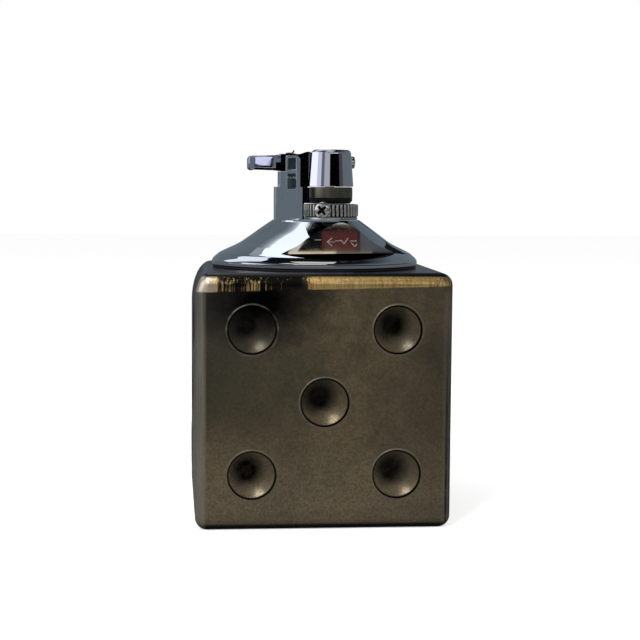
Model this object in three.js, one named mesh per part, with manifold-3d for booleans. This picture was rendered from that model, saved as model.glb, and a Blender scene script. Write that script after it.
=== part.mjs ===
// A die-shaped table lighter: a hollow cube with pips, and a lift-out gas insert that carries
// a flint wheel, a thumb lever with a snuffer cap, and a burner with a flame adjusting ring.
// Millimetres, +Z up, origin on the table under the centre of the cube, -Y is the front.

import * as THREE from 'three';
import Module from 'manifold-3d';
import { mergeVertices } from 'three/addons/utils/BufferGeometryUtils.js';
import { LoftGeometry } from 'three/addons/geometries/LoftGeometry.js';
import { RoundedBoxGeometry } from 'three/addons/geometries/RoundedBoxGeometry.js';

// Fits shared by all pieces
const merge_tolerance = 0.00001;
const seat_gap = 0.15;
const side_gap = 0.3;
const overrun = 2;

// Die body
const die_size = 63.5;
const die_edge_radius = 3;
const die_wall = 3.2;
const die_top_wall = 4;
const die_foot_height = 0.5;
const pip_diameter = 11.9;
const pip_depth = 2.2;
const pip_margin = 13.85;
const boss_radius = 4.5;
const boss_height = 10;
const boss_inset = 6.05;

// Base
const felt_thickness = 1.6;
const felt_margin = 0.8;
const plate_thickness = 2;
const plate_corner_radius = 2;
const screw_shank_radius = 1.5;
const screw_head_radius = 2.9;
const screw_length = 9;
const screw_cone_share = 0.6;

// Skirt casting
const skirt_margin = 4.85;
const opening_inset = 3.6;
const skirt_rim_height = 0.95;
const skirt_height = 11.5;
const skirt_slope_shares = [[0, 0], [0.1, 0.085], [0.3, 0.32], [0.52, 0.53], [0.81, 0.79], [1, 1]];
const platform_half_length = 11.4;
const platform_half_width = 7.4;
const platform_offset = 0.1;
const skirt_floor_step = 1.6;
const skirt_floor_top_radius = 8;
const skirt_floor_height = 7.4;
const facet_top_reach = 8.7;
const facet_foot_reach = 18;
const facet_drop = 8;
const facet_turn_share = 14 / 360;
const ledge_reach = 30;
const ledge_drop = 2;
const spigot_wall = 1.2;
const spigot_depth = 6;
const gasket_thickness = 0.5;
const gasket_width = 3;
const band_thickness = 0.3;
const band_height = 4;
const band_slit = 6;

// Post with the wheel fork
const post_axis_x = -6.4;
const post_left = 4.5;
const post_right = 2.8;
const post_height = 8.6;
const post_half_depth = 4.5;
const fork_left = 3.1;
const fork_right = 2.2;
const fork_chamfer = 0.8;
const fork_height = 16.7;
const fork_shoulder = 12.6;
const fork_tongue_left = 1.5;
const fork_slot = 6.6;
const strip_width = 2.2;
const strip_depth = 0.6;
const strip_start = 5.3;
const rib_width = 0.5;
const rib_height = 0.3;
const window_start = 8.1;
const window_height = 4;
const window_bar = 0.95;
const screen_reach = 1.8;
const screen_front = 1.5;
const screen_start = 4.8;
const screen_foot_reach = 0.35;
const screen_wing_reach = 3.6;
const screen_wing_depth = 0.5;

// Burner
const burner_axis_x = 4.25;
const ring_radius = 7.2;
const ring_height = 3.1;
const ring_teeth = 40;
const ring_tooth_depth = 0.45;
const collar_radius = 6.85;
const collar_height = 0.95;
const ring_screw_radius = 2.2;
const ring_screw_head = 1.3;
const ring_screw_shank = 1;
const ring_screw_length = 2.6;
const ring_screw_seat = 0.9;
const ring_screw_turn_share = -24 / 360;
const pan_edge_share = 0.45;
const pan_crown_share = 0.62;
const tooth_land_share = 0.4;
const valve_radius = 3.4;
const valve_flange_radius = 5;
const valve_flange_height = 0.6;
const neck_radius = 5.6;
const neck_foot_radius = 5.1;
const neck_height = 1.5;
const burner_radius = 5.65;
const burner_wall = 0.9;
const burner_height = 2.75;
const burner_floor = 1;
const nozzle_radius = 0.9;
const nozzle_bore = 0.35;
const nozzle_rise = 3.6;
const nozzle_collar_radius = 1.7;
const nozzle_collar_height = 0.7;
const nozzle_length = 9;
const nozzle_tip = 1.9;
const nozzle_spring_wire = 0.35;
const nozzle_spring_turns = 2;

// Snuffer cap
const cap_foot_radius = 5.85;
const cap_top_radius = 5.15;
const cap_height = 9.6;
const cap_wall = 0.6;
const cap_round = 0.9;
const cap_seal_radius = 1.5;
const cap_stem_radius = 1;
const cap_seal_thickness = 0.9;
const rivet_radius = 1.7;
const rivet_head = 0.75;
const rivet_shank_radius = 0.7;
const rivet_drop = 3.3;
const rivet_shank_length = 1.4;

// Wheel, axle and flint
const axle_height = 14.3;
const axle_radius = 0.8;
const axle_head_radius = 1.5;
const axle_head = 0.5;
const wheel_radius = 3.35;
const wheel_width = 2.4;
const wheel_teeth = 26;
const wheel_lean_share = 0.5;
const wheel_tooth_depth = 0.35;
const running_gap = 0.12;
const ratchet_radius = 2.7;
const ratchet_width = 0.6;
const ratchet_teeth = 12;
const ratchet_lean_share = 0.06;
const ratchet_tooth_depth = 0.5;
const flint_radius = 1.25;
const flint_length = 5;
const tube_wall = 0.7;
const tube_foot_room = 2.55;
const flint_spring_length = 8.6;
const flint_spring_wire = 0.4;
const flint_spring_turns = 8;
const flint_screw_head = 1.4;
const flint_screw_head_radius = 2.3;
const flint_screw_slot = 0.5;

// Thumb lever
const lever_sheet = 0.45;
const lever_gap = 0.2;
const lever_top = 2.85;
const lever_foot = 1.6;
const pad_top = 2;
const pad_left = 11.2;
const pad_right = 5.1;
const pad_width = 9.2;
const pad_flange = 2.4;
const pad_curl_height = 3.5;
const pad_curl_depth = 1.4;
const pad_sag = 0.7;
const arm_rise = 0.7;
const arm_foot = 5;
const lever_spring_wire = 0.3;
const lever_spring_radius = 1.5;
const lever_spring_turns = 1.25;
const lever_spring_pitch = 0.72;
const lever_spring_leg = 2.6;
const pawl_sheet = 0.25;
const pawl_tip = 0.9;

// Gas tank
const tank_foot_room = 5.9;
const tank_wall = 1.8;
const lid_thickness = 1.8;
const lid_drop = 1.8;
const lid_seal_thickness = 0.6;
const lid_seal_width = 1.6;
const lid_boss_radius = 5;
const lid_boss_depth = 6;
const lid_post_height = 8;
const valve_tail = 1;
const filler_radius = 3;
const filler_length = 8;
const filler_head_radius = 4.2;
const filler_head = 1.2;
const filler_bore = 1.3;
const filler_roof = 0.8;
const filler_pin_radius = 0.8;
const filler_pin_length = 4.2;
const filler_pin_recess = 0.3;
const filler_spring_wire = 0.3;
const filler_spring_turns = 4;
const wick_radius = 1.6;
const wick_foot_room = 9.95;

// Smoothness of round forms
const fine_steps = 40;
const round_steps = 24;
const small_steps = 16;
const arc_steps = 4;
const pip_rings = 3;
const pip_steps = 20;
const coil_steps = 8;
const wire_sides = 5;

// Widths that several pieces share
const pip_spacing = die_size - 2 * pip_margin;
const boss_spacing = die_size - 2 * die_wall - 2 * boss_inset;
const skirt_radius = die_size / 2 - skirt_margin;
const opening_radius = skirt_radius - opening_inset;
const spigot_radius = opening_radius - band_thickness - 2 * side_gap;
const spigot_inner = spigot_radius - spigot_wall;
const skirt_floor_radius = spigot_inner - skirt_floor_step;
const tank_radius = spigot_inner - side_gap;

// Heights that several pieces share
const felt_top = felt_thickness;
const plate_bottom = felt_top + seat_gap;
const plate_top = plate_bottom + plate_thickness;
const gasket_bottom = die_size + seat_gap / 2;
const skirt_bottom = gasket_bottom + gasket_thickness + seat_gap / 2;
const rim_top = skirt_bottom + skirt_rim_height;
const platform_z = skirt_bottom + skirt_height;
const axle_z = platform_z + axle_height;
const fork_top = platform_z + fork_height;
const fork_floor = platform_z + post_height;
const lid_top = skirt_bottom - lid_drop;
const lid_bottom = lid_top - lid_thickness;
const tank_top = lid_bottom - lid_seal_thickness - 2 * seat_gap;
const tank_bottom = plate_top + tank_foot_room;
const collar_bottom = platform_z + seat_gap;
const ring_bottom = collar_bottom + collar_height;
const ring_top = ring_bottom + ring_height;
const neck_bottom = ring_top + seat_gap;
const neck_top = neck_bottom + neck_height;
const burner_bottom = neck_top;
const burner_top = burner_bottom + burner_height;
const cap_bottom = burner_top + seat_gap;
const cap_top = cap_bottom + cap_height;
const tube_top = axle_z - wheel_radius - side_gap;
const tube_bottom = lid_top + tube_foot_room + flint_screw_head;
const tube_radius = flint_radius + running_gap + tube_wall;
const flint_top = axle_z - wheel_radius - seat_gap;
const nozzle_top = burner_top + nozzle_rise;
const seal_top = nozzle_top + seat_gap + cap_seal_thickness;

const wasm = await Module();
wasm.setup();

// Turns a three.js geometry into a closed solid that can be joined and cut
function solid(geometry) {
  const bare = new THREE.BufferGeometry().copy(geometry);
  bare.deleteAttribute('normal');
  bare.deleteAttribute('uv');
  const merged = mergeVertices(bare, merge_tolerance);
  const index = Array.from(merged.index.array);
  const kept = [];
  for (let i = 0; i < index.length; i += 3) {
    const [a, b, c] = index.slice(i, i + 3);
    if (a !== b && b !== c && a !== c) kept.push(a, b, c);
  }
  const vertProperties = new Float32Array(merged.attributes.position.array);
  const triVerts = new Uint32Array(kept);
  const whole = new wasm.Manifold(new wasm.Mesh({ numProp: 3, vertProperties, triVerts }));
  if (whole.volume() >= 0) return whole;
  const turned = [];
  for (let i = 0; i < kept.length; i += 3) turned.push(kept[i], kept[i + 2], kept[i + 1]);
  return new wasm.Manifold(new wasm.Mesh({ numProp: 3, vertProperties, triVerts: new Uint32Array(turned) }));
}

// Revolves a closed profile of [radius, height] points about a vertical axis
function turned(profile, x = 0, y = 0, steps = round_steps) {
  const points = profile.map(([radius, height]) => new THREE.Vector2(radius, height));
  if (profile[0][0] !== 0) points.push(points[0].clone());
  const geometry = new THREE.LatheGeometry(points, steps);
  geometry.rotateX(Math.PI / 2);
  geometry.translate(x, y, 0);
  return solid(geometry);
}

function disc(radius, bottom, top, x = 0, y = 0, steps = round_steps) {
  return turned([[0, bottom], [radius, bottom], [radius, top], [0, top]], x, y, steps);
}

// A box from its lowest to its highest corner
function block(low, high) {
  const size = high.map((value, i) => value - low[i]);
  const geometry = new THREE.BoxGeometry(...size);
  geometry.translate(...high.map((value, i) => (value + low[i]) / 2));
  return solid(geometry);
}

// Extrudes an outline drawn in the XZ plane along Y
function sideways(outline, y_low, y_high) {
  const shape = new THREE.Shape(outline.map(([x, z]) => new THREE.Vector2(x, z)));
  const geometry = new THREE.ExtrudeGeometry(shape, { depth: y_high - y_low, bevelEnabled: false });
  geometry.rotateX(Math.PI / 2);
  geometry.translate(0, y_high, 0);
  return solid(geometry);
}

// A round rod along Y
function cross_rod(radius, x, z, y_low, y_high, steps = small_steps) {
  const geometry = new THREE.CylinderGeometry(radius, radius, y_high - y_low, steps);
  geometry.translate(x, (y_low + y_high) / 2, z);
  return solid(geometry);
}

// A plate with rounded corners, centred on the axis
function rounded_plate(size, corner, bottom, top) {
  const half = size / 2;
  const inner = half - corner;
  const shape = new THREE.Shape();
  shape.absarc(inner, inner, corner, 0, Math.PI / 2);
  shape.absarc(-inner, inner, corner, Math.PI / 2, Math.PI);
  shape.absarc(-inner, -inner, corner, Math.PI, Math.PI * 1.5);
  shape.absarc(inner, -inner, corner, Math.PI * 1.5, Math.PI * 2);
  const settings = { depth: top - bottom, bevelEnabled: false, curveSegments: arc_steps };
  const geometry = new THREE.ExtrudeGeometry(shape, settings);
  geometry.translate(0, 0, bottom);
  return solid(geometry);
}

// A helix of round wire about a vertical axis, with a straight leg running on from each end
class CoilWire extends THREE.Curve {
  constructor(radius, turns, bottom, length, leg) {
    super();
    const climb = length / (turns * 2 * Math.PI);
    const coil = turns * 2 * Math.PI * Math.hypot(radius, climb);
    Object.assign(this, { radius, turns, bottom, climb, leg, coil, total: coil + 2 * leg });
  }

  // A point on the coil and the direction of the wire there
  coil_point(angle) {
    const point = new THREE.Vector3(
      Math.cos(angle) * this.radius,
      Math.sin(angle) * this.radius,
      this.bottom + angle * this.climb,
    );
    const round = new THREE.Vector2(-Math.sin(angle), Math.cos(angle)).multiplyScalar(this.radius);
    const along = new THREE.Vector3(round.x, round.y, this.climb);
    return { point, along: along.normalize() };
  }

  getPoint(t, target = new THREE.Vector3()) {
    const run = t * this.total - this.leg;
    const share = Math.min(Math.max(run / this.coil, 0), 1);
    const { point, along } = this.coil_point(share * this.turns * 2 * Math.PI);
    const past = run < 0 ? run : Math.max(run - this.coil, 0);
    return target.copy(point).addScaledVector(along, past);
  }
}

// The clear space between neighbouring coils, measured on points of the centre line
function coil_gap(wire_path, wire) {
  const steps = Math.round(wire_path.turns * small_steps);
  const points = wire_path.getSpacedPoints(steps);
  let least = Infinity;
  points.forEach((p, i) => {
    points.slice(i + Math.ceil(small_steps / 2)).forEach((q) => {
      least = Math.min(least, p.distanceTo(q));
    });
  });
  return least - wire;
}

// A wound spring whose wire lies between two heights, about a vertical axis through the origin
function wound_spring(name, radius, turns, bottom, top, wire, leg = wire) {
  const path = new CoilWire(radius, turns, bottom + wire / 2, top - bottom - wire, leg);
  const corners = Array.from({ length: wire_sides }, (unused, i) => {
    const angle = (i / wire_sides) * 2 * Math.PI;
    return new THREE.Vector2(Math.cos(angle) * wire / 2, Math.sin(angle) * wire / 2);
  });
  const steps = Math.round(turns * coil_steps) + 2;
  const options = { steps, extrudePath: path, bevelEnabled: false };
  console.log(`${name}: least gap between coils ${coil_gap(path, wire).toFixed(2)} mm`);
  return solid(new THREE.ExtrudeGeometry(new THREE.Shape(corners), options));
}

function finish(color, roughness, metalness) {
  return new THREE.MeshStandardMaterial({ color, roughness, metalness });
}

const antique_brass = finish(0x4b4437, 0.45, 0.9);
const chrome = finish(0x8d9499, 0.15, 1);
const steel = finish(0x8a8d90, 0.4, 1);
const brass = finish(0xa88a4a, 0.35, 1);
const dark_brass = finish(0x5a583c, 0.4, 0.9);
const nickel = finish(0x787064, 0.35, 1);
const black_plastic = finish(0x101012, 0.5, 0);
const rubber = finish(0x18181a, 0.8, 0);
const felt = finish(0x1f3a2a, 1, 0);
const felt_white = finish(0xd8d2c4, 1, 0);
const flint_alloy = finish(0x5c5a58, 0.7, 0.6);
const smoked_plastic = finish(0x3a3630, 0.4, 0);

const group = new THREE.Group();

function add(name, body, material) {
  const mesh = body.getMesh();
  const geometry = new THREE.BufferGeometry();
  geometry.setAttribute('position', new THREE.BufferAttribute(new Float32Array(mesh.vertProperties), 3));
  geometry.setIndex(new THREE.BufferAttribute(new Uint32Array(mesh.triVerts), 1));
  geometry.computeVertexNormals();
  const part = new THREE.Mesh(geometry, material);
  part.name = name;
  group.add(part);
}

// The hollow cube: five walls, pips on four sides, a round mouth on top and an open foot
function body_shell() {
  const height = die_size - die_foot_height;
  const outer = new RoundedBoxGeometry(die_size, die_size, height, arc_steps, die_edge_radius);
  outer.translate(0, 0, die_foot_height + height / 2);
  const inner_size = die_size - 2 * die_wall;
  let body = solid(outer);
  body = body.subtract(rounded_plate(inner_size, plate_corner_radius, -overrun, die_size - die_top_wall));
  body = body.subtract(disc(opening_radius, die_size / 2, die_size + overrun, 0, 0, fine_steps));
  const boss_bottom = plate_top + seat_gap;
  for (const [x, y] of corner_places(boss_spacing)) {
    const wall_side = (inner_size + die_wall) / 2;
    const boss = disc(boss_radius, boss_bottom, boss_bottom + boss_height, x, y, small_steps);
    const web = block(
      [Math.min(x, Math.sign(x) * wall_side), y - die_wall / 2, boss_bottom],
      [Math.max(x, Math.sign(x) * wall_side), y + die_wall / 2, boss_bottom + boss_height],
    );
    body = body.add(boss).add(web);
    const hole_top = plate_bottom + screw_length + overrun / 2;
    const hole = disc(screw_shank_radius + seat_gap, boss_bottom - overrun, hole_top, x, y, small_steps);
    body = body.subtract(hole);
  }
  for (const face of pip_faces) {
    for (const [u, v] of face.places) {
      body = body.subtract(pip(face.turn, u * pip_spacing / 2, die_size / 2 + v * pip_spacing / 2));
    }
  }
  return body;
}

// Pips in half spacings across and up each side, and the quarter turns that bring it to the front
const pip_faces = [
  { turn: 0, places: [[-1, -1], [1, -1], [0, 0], [-1, 1], [1, 1]] },
  { turn: 1, places: [[-1, -1], [1, -1], [-1, 1], [1, 1]] },
  { turn: 2, places: [[-1, 1], [1, -1]] },
  { turn: 3, places: [[-1, -1], [0, 0], [1, 1]] },
];

function corner_places(spacing) {
  const half = spacing / 2;
  return [[-half, -half], [half, -half], [half, half], [-half, half]];
}

// A shallow spherical hollow cut into one side of the die
function pip(turn, across, height) {
  const radius = pip_diameter / 2;
  const ball = (radius * radius + pip_depth * pip_depth) / (2 * pip_depth);
  const half_angle = Math.asin(radius / ball);
  const profile = [];
  for (let i = 0; i <= pip_rings; i += 1) {
    const angle = (half_angle * i) / pip_rings;
    profile.push([Math.sin(angle) * ball, pip_depth - ball + Math.cos(angle) * ball]);
  }
  profile.push([radius, -overrun], [0, -overrun]);
  const points = profile.map(([r, depth]) => new THREE.Vector2(r, depth));
  const geometry = new THREE.LatheGeometry(points, pip_steps);
  geometry.translate(0, -die_size / 2, 0);
  geometry.translate(across, 0, height);
  geometry.rotateZ((turn * Math.PI) / 2);
  return solid(geometry);
}

function plate_size() {
  return die_size - 2 * die_wall - 2 * side_gap;
}

// The steel plate that closes the foot, with a countersunk hole in each corner
function base_plate() {
  let plate = rounded_plate(plate_size(), plate_corner_radius, plate_bottom, plate_top);
  for (const [x, y] of corner_places(boss_spacing)) {
    plate = plate.subtract(countersunk(seat_gap, overrun, x, y));
  }
  return plate;
}

// The form of a countersunk screw: its head flush with the plate's underside
function countersunk(clearance, past, x, y) {
  const head = screw_head_radius + clearance;
  const shank = screw_shank_radius + clearance;
  const cone_top = plate_bottom + plate_thickness * screw_cone_share + clearance;
  const top = plate_bottom + screw_length;
  const foot = past > 0 ? [[0, plate_bottom - past], [head, plate_bottom - past]] : [[0, plate_bottom]];
  const profile = [...foot, [head, plate_bottom], [shank, cone_top], [shank, top], [0, top]];
  return turned(profile, x, y, small_steps);
}

function felt_pad() {
  return rounded_plate(plate_size() - 2 * felt_margin, plate_corner_radius, 0, felt_top);
}

// One level of the skirt: two half circles joined by straight sides
function skirt_section(half_length, half_width, z, x) {
  const straight = half_length - half_width;
  const points = [];
  for (let i = 0; i < fine_steps; i += 1) {
    const angle = ((i + 0.5) / fine_steps) * 2 * Math.PI;
    const side = Math.sign(Math.cos(angle)) * straight;
    points.push(new THREE.Vector3(x + side + Math.cos(angle) * half_width, Math.sin(angle) * half_width, z));
  }
  return points;
}

// The cone that runs from a round rim to a long platform
function skirt_cone() {
  const rise = platform_z - rim_top;
  const sections = [skirt_section(skirt_radius, skirt_radius, skirt_bottom, 0)];
  for (const [height_share, reach_share] of skirt_slope_shares) {
    sections.push(skirt_section(
      THREE.MathUtils.lerp(skirt_radius, platform_half_length, reach_share),
      THREE.MathUtils.lerp(skirt_radius, platform_half_width, reach_share),
      rim_top + rise * height_share,
      platform_offset * reach_share,
    ));
  }
  return solid(new LoftGeometry(sections, { capStart: true, capEnd: true }));
}

// The wedge that leaves the flat facet under the burner and the shallow ledge at its foot
function facet_wedge() {
  const top_z = platform_z;
  const foot_z = platform_z - facet_drop;
  const slope = (facet_foot_reach - facet_top_reach) / facet_drop;
  const outline = [
    [facet_top_reach - slope * overrun, top_z + overrun],
    [facet_foot_reach, foot_z],
    [ledge_reach, foot_z - ledge_drop],
    [ledge_reach, top_z + overrun],
  ];
  const shape = new THREE.Shape(outline.map(([reach, z]) => new THREE.Vector2(reach, z)));
  const geometry = new THREE.ExtrudeGeometry(shape, { depth: 2 * skirt_radius, bevelEnabled: false });
  geometry.rotateX(Math.PI / 2);
  geometry.translate(0, skirt_radius, 0);
  geometry.rotateZ(-Math.PI / 2 + facet_turn_share * 2 * Math.PI);
  return solid(geometry);
}

// The post beside the burner: a block that holds the flint tube, and the fork that holds the wheel
function post() {
  const x = post_axis_x;
  const deep = post_half_depth;
  const slot = fork_slot / 2;
  const right = x + post_right;
  let body = block([x - post_left, -deep, platform_z - overrun], [right, deep, fork_floor]);
  body = body.add(block([x - fork_left, -deep, platform_z], [x + fork_right, deep, fork_top]));
  for (const side of [-1, 1]) {
    const rib_x = x + side * (strip_width + rib_width) / 2;
    body = body.add(block(
      [rib_x - rib_width / 2, -deep - rib_height, platform_z + strip_start],
      [rib_x + rib_width / 2, 0, fork_top],
    ));
  }
  body = body.add(block(
    [right - overrun, side_gap, platform_z - overrun],
    [right + screen_foot_reach, deep, fork_floor - seat_gap],
  ));
  body = body.add(block(
    [right - overrun, screen_front, platform_z + screen_start],
    [right + screen_reach, deep, fork_floor - seat_gap],
  ));
  body = body.add(block(
    [right - overrun, deep - screen_wing_depth, platform_z + screen_start],
    [right + screen_wing_reach, deep, fork_floor - seat_gap],
  ));
  body = body.subtract(block(
    [x - post_left - overrun, -slot, fork_floor],
    [right + overrun, slot, fork_top + overrun],
  ));
  const shoulder = block(
    [x - post_left - overrun, -deep - overrun, platform_z + fork_shoulder],
    [x - fork_tongue_left, deep + overrun, fork_top + overrun],
  );
  body = body.subtract(shoulder);
  body = body.subtract(sideways([
    [x + fork_right + overrun, fork_top + overrun],
    [x + fork_right - fork_chamfer - overrun, fork_top + overrun],
    [x + fork_right + overrun, fork_top - fork_chamfer - overrun],
  ], -deep - overrun, deep + overrun));
  const window_z = platform_z + window_start;
  const half_strip = strip_width / 2;
  body = body.subtract(block(
    [x - half_strip, -deep - overrun, window_z],
    [x + half_strip, 0, window_z + window_height],
  ));
  body = body.subtract(block(
    [x - half_strip, -deep - overrun, window_z + window_height + window_bar],
    [x + half_strip, -deep + strip_depth, fork_top - rib_width],
  ));
  return body;
}

// The chrome casting: skirt, spigot and post in one piece
function skirt_casting() {
  const x = post_axis_x;
  let body = skirt_cone().subtract(facet_wedge()).add(post());
  const cavity_top = skirt_bottom + skirt_floor_height;
  body = body.subtract(turned([
    [0, skirt_bottom - overrun],
    [skirt_floor_radius, skirt_bottom - overrun],
    [skirt_floor_radius, skirt_bottom],
    [skirt_floor_top_radius, cavity_top],
    [0, cavity_top],
  ], 0, 0, fine_steps));
  body = body.add(turned([
    [spigot_inner, skirt_bottom - spigot_depth],
    [spigot_radius, skirt_bottom - spigot_depth],
    [spigot_radius, rim_top],
    [spigot_inner, rim_top],
  ], 0, 0, fine_steps));
  const boss_bottom = lid_top + lid_post_height + seat_gap;
  body = body.add(disc(lid_boss_radius, boss_bottom, cavity_top + overrun, burner_axis_x, 0));
  body = body.subtract(disc(valve_radius + seat_gap, lid_top, platform_z + overrun, burner_axis_x, 0));
  body = body.subtract(disc(tube_radius + seat_gap, lid_top, fork_floor + overrun, x, 0, small_steps));
  const reach = post_half_depth + overrun;
  return body.subtract(cross_rod(axle_radius + running_gap, x, axle_z, -reach, reach));
}

function ring_band(inner, outer, bottom, top) {
  return turned([[inner, bottom], [outer, bottom], [outer, top], [inner, top]], 0, 0, fine_steps);
}

function gasket_ring() {
  const outer = skirt_radius - side_gap;
  return ring_band(outer - gasket_width, outer, gasket_bottom, gasket_bottom + gasket_thickness);
}

// A split spring band round the spigot that grips the mouth of the die
function friction_band() {
  const inner = spigot_radius + side_gap / 2;
  const bottom = skirt_bottom - spigot_depth + seat_gap;
  const band = ring_band(inner, inner + band_thickness, bottom, bottom + band_height);
  return band.subtract(block(
    [-band_slit / 2, 0, bottom - overrun],
    [band_slit / 2, die_size, bottom + band_height + overrun],
  ));
}

function tank_lid() {
  const x = burner_axis_x;
  let lid = disc(tank_radius, lid_bottom, lid_top, 0, 0, fine_steps);
  lid = lid.add(disc(lid_boss_radius, lid_bottom - lid_boss_depth, lid_top + lid_post_height, x, 0));
  return lid.subtract(disc(valve_radius + seat_gap, lid_bottom - lid_boss_depth - overrun, platform_z, x, 0));
}

function lid_seal() {
  const outer = tank_radius - side_gap;
  return ring_band(outer - lid_seal_width, outer, tank_top + seat_gap, lid_bottom - seat_gap);
}

function fuel_tank() {
  const inner = tank_radius - tank_wall;
  const floor = tank_bottom + tank_wall;
  const hole = filler_radius + seat_gap;
  return turned([
    [hole, tank_bottom],
    [tank_radius, tank_bottom],
    [tank_radius, tank_top],
    [inner, tank_top],
    [inner, floor],
    [hole, floor],
  ], 0, 0, fine_steps);
}

// The brass valve that clamps the casting to the lid and feeds the burner
function valve_body() {
  const bottom = lid_bottom - lid_boss_depth - valve_tail;
  const bore = nozzle_radius + running_gap;
  return turned([
    [0, bottom],
    [valve_radius, bottom],
    [valve_radius, collar_bottom],
    [valve_flange_radius, collar_bottom],
    [valve_flange_radius, collar_bottom + valve_flange_height],
    [valve_radius, collar_bottom + valve_flange_height],
    [valve_radius, neck_bottom - seat_gap],
    [bore, neck_bottom - seat_gap],
    [bore, nozzle_top - nozzle_length - side_gap],
    [0, nozzle_top - nozzle_length - side_gap],
  ], burner_axis_x, 0);
}

function wick() {
  const top = lid_bottom - lid_boss_depth - valve_tail - seat_gap;
  return disc(wick_radius, tank_bottom + tank_wall + wick_foot_room, top, burner_axis_x, 0, small_steps);
}

// The knurled flame ring: coarse straight teeth over a plain collar
function adjusting_ring() {
  const x = burner_axis_x;
  const points = [];
  for (let i = 0; i < ring_teeth; i += 1) {
    const angle = (i / ring_teeth) * 2 * Math.PI;
    const half = Math.PI / ring_teeth;
    const land = half * tooth_land_share;
    points.push([angle - land, ring_radius], [angle + land, ring_radius]);
    points.push([angle + half, ring_radius - ring_tooth_depth]);
  }
  const shape = new THREE.Shape(points.map(([a, r]) => new THREE.Vector2(Math.cos(a) * r, Math.sin(a) * r)));
  const teeth = new THREE.ExtrudeGeometry(shape, { depth: ring_height, bevelEnabled: false });
  teeth.translate(x, 0, ring_bottom);
  const collar = disc(collar_radius, collar_bottom, ring_bottom + ring_tooth_depth, x, 0, fine_steps);
  let ring = solid(teeth).add(collar);
  const wide = valve_flange_radius + side_gap;
  const step = collar_bottom + valve_flange_height + side_gap;
  ring = ring.subtract(disc(wide, collar_bottom - overrun, step, x, 0));
  ring = ring.subtract(disc(valve_radius + running_gap, collar_bottom, ring_top + overrun, x, 0));
  return ring.subtract(ring_screw_form(seat_gap, overrun));
}

// The screw set into the ring from its side, its head standing proud of the knurl
function ring_screw_form(clearance, past) {
  const seat = ring_radius - ring_screw_seat;
  const head = turned([
    [0, seat - ring_screw_length],
    [ring_screw_shank + clearance, seat - ring_screw_length],
    [ring_screw_shank + clearance, seat - clearance],
    [ring_screw_radius + clearance, seat - clearance],
    [ring_screw_radius + clearance, seat + ring_screw_head * pan_edge_share],
    [ring_screw_radius * pan_crown_share + clearance, seat + ring_screw_head + past],
    [0, seat + ring_screw_head + past],
  ], 0, 0, small_steps);
  const degrees = 180 / Math.PI;
  const height = (ring_bottom + ring_top) / 2;
  return head.rotate([90, 0, 0])
    .rotate([0, 0, ring_screw_turn_share * 2 * Math.PI * degrees])
    .translate([burner_axis_x, 0, height]);
}

function ring_screw() {
  return ring_screw_form(0, 0);
}

function burner_neck() {
  const bore = nozzle_radius + side_gap;
  return turned([
    [bore, neck_bottom],
    [neck_foot_radius, neck_bottom],
    [neck_radius, neck_bottom + neck_height / 2],
    [neck_radius, neck_top - seat_gap],
    [bore, neck_top - seat_gap],
  ], burner_axis_x, 0);
}

function burner_cup() {
  const bore = nozzle_radius + side_gap;
  const inner = burner_radius - burner_wall;
  const floor = burner_bottom + burner_floor;
  return turned([
    [bore, burner_bottom],
    [burner_radius, burner_bottom],
    [burner_radius, burner_top],
    [inner, burner_top],
    [inner, floor],
    [bore, floor],
  ], burner_axis_x, 0);
}

function nozzle_collar_bottom() {
  return nozzle_top - nozzle_tip - nozzle_collar_height;
}

function burner_nozzle() {
  const collar = nozzle_collar_bottom();
  const bore_floor = nozzle_top - nozzle_length / 2;
  return turned([
    [0, nozzle_top - nozzle_length],
    [nozzle_radius, nozzle_top - nozzle_length],
    [nozzle_radius, collar],
    [nozzle_collar_radius, collar],
    [nozzle_collar_radius, collar + nozzle_collar_height],
    [nozzle_radius, collar + nozzle_collar_height],
    [nozzle_radius, nozzle_top],
    [nozzle_bore, nozzle_top],
    [nozzle_bore, bore_floor],
    [0, bore_floor],
  ], burner_axis_x, 0, small_steps);
}

function nozzle_spring() {
  const bottom = burner_bottom + burner_floor + seat_gap;
  const top = nozzle_collar_bottom() - seat_gap;
  const radius = nozzle_radius + side_gap + nozzle_spring_wire / 2;
  return wound_spring('nozzle_spring', radius, nozzle_spring_turns, bottom, top, nozzle_spring_wire)
    .translate([burner_axis_x, 0, 0]);
}

function cap_radius_at(z) {
  return THREE.MathUtils.lerp(cap_foot_radius, cap_top_radius, (z - cap_bottom) / cap_height);
}

// The snuffer: a tapered chimney, closed above, with a stem inside for its seal
function burner_cap() {
  const roof = cap_top - cap_wall;
  const profile = [
    [0, seal_top + seat_gap],
    [cap_stem_radius, seal_top + seat_gap],
    [cap_stem_radius, roof],
    [cap_radius_at(roof) - cap_wall, roof],
    [cap_foot_radius - cap_wall, cap_bottom],
    [cap_foot_radius, cap_bottom],
  ];
  const round_z = cap_top - cap_round;
  for (let i = 0; i <= arc_steps; i += 1) {
    const angle = (i / arc_steps) * (Math.PI / 2);
    const radius = cap_radius_at(round_z) - cap_round + Math.cos(angle) * cap_round;
    profile.push([radius, round_z + Math.sin(angle) * cap_round]);
  }
  profile.push([0, cap_top]);
  return turned(profile, burner_axis_x, 0, fine_steps).subtract(cap_rivet_form(seat_gap));
}

function cap_seal() {
  return disc(cap_seal_radius, seal_top - cap_seal_thickness, seal_top, burner_axis_x, 0, small_steps);
}

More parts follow.
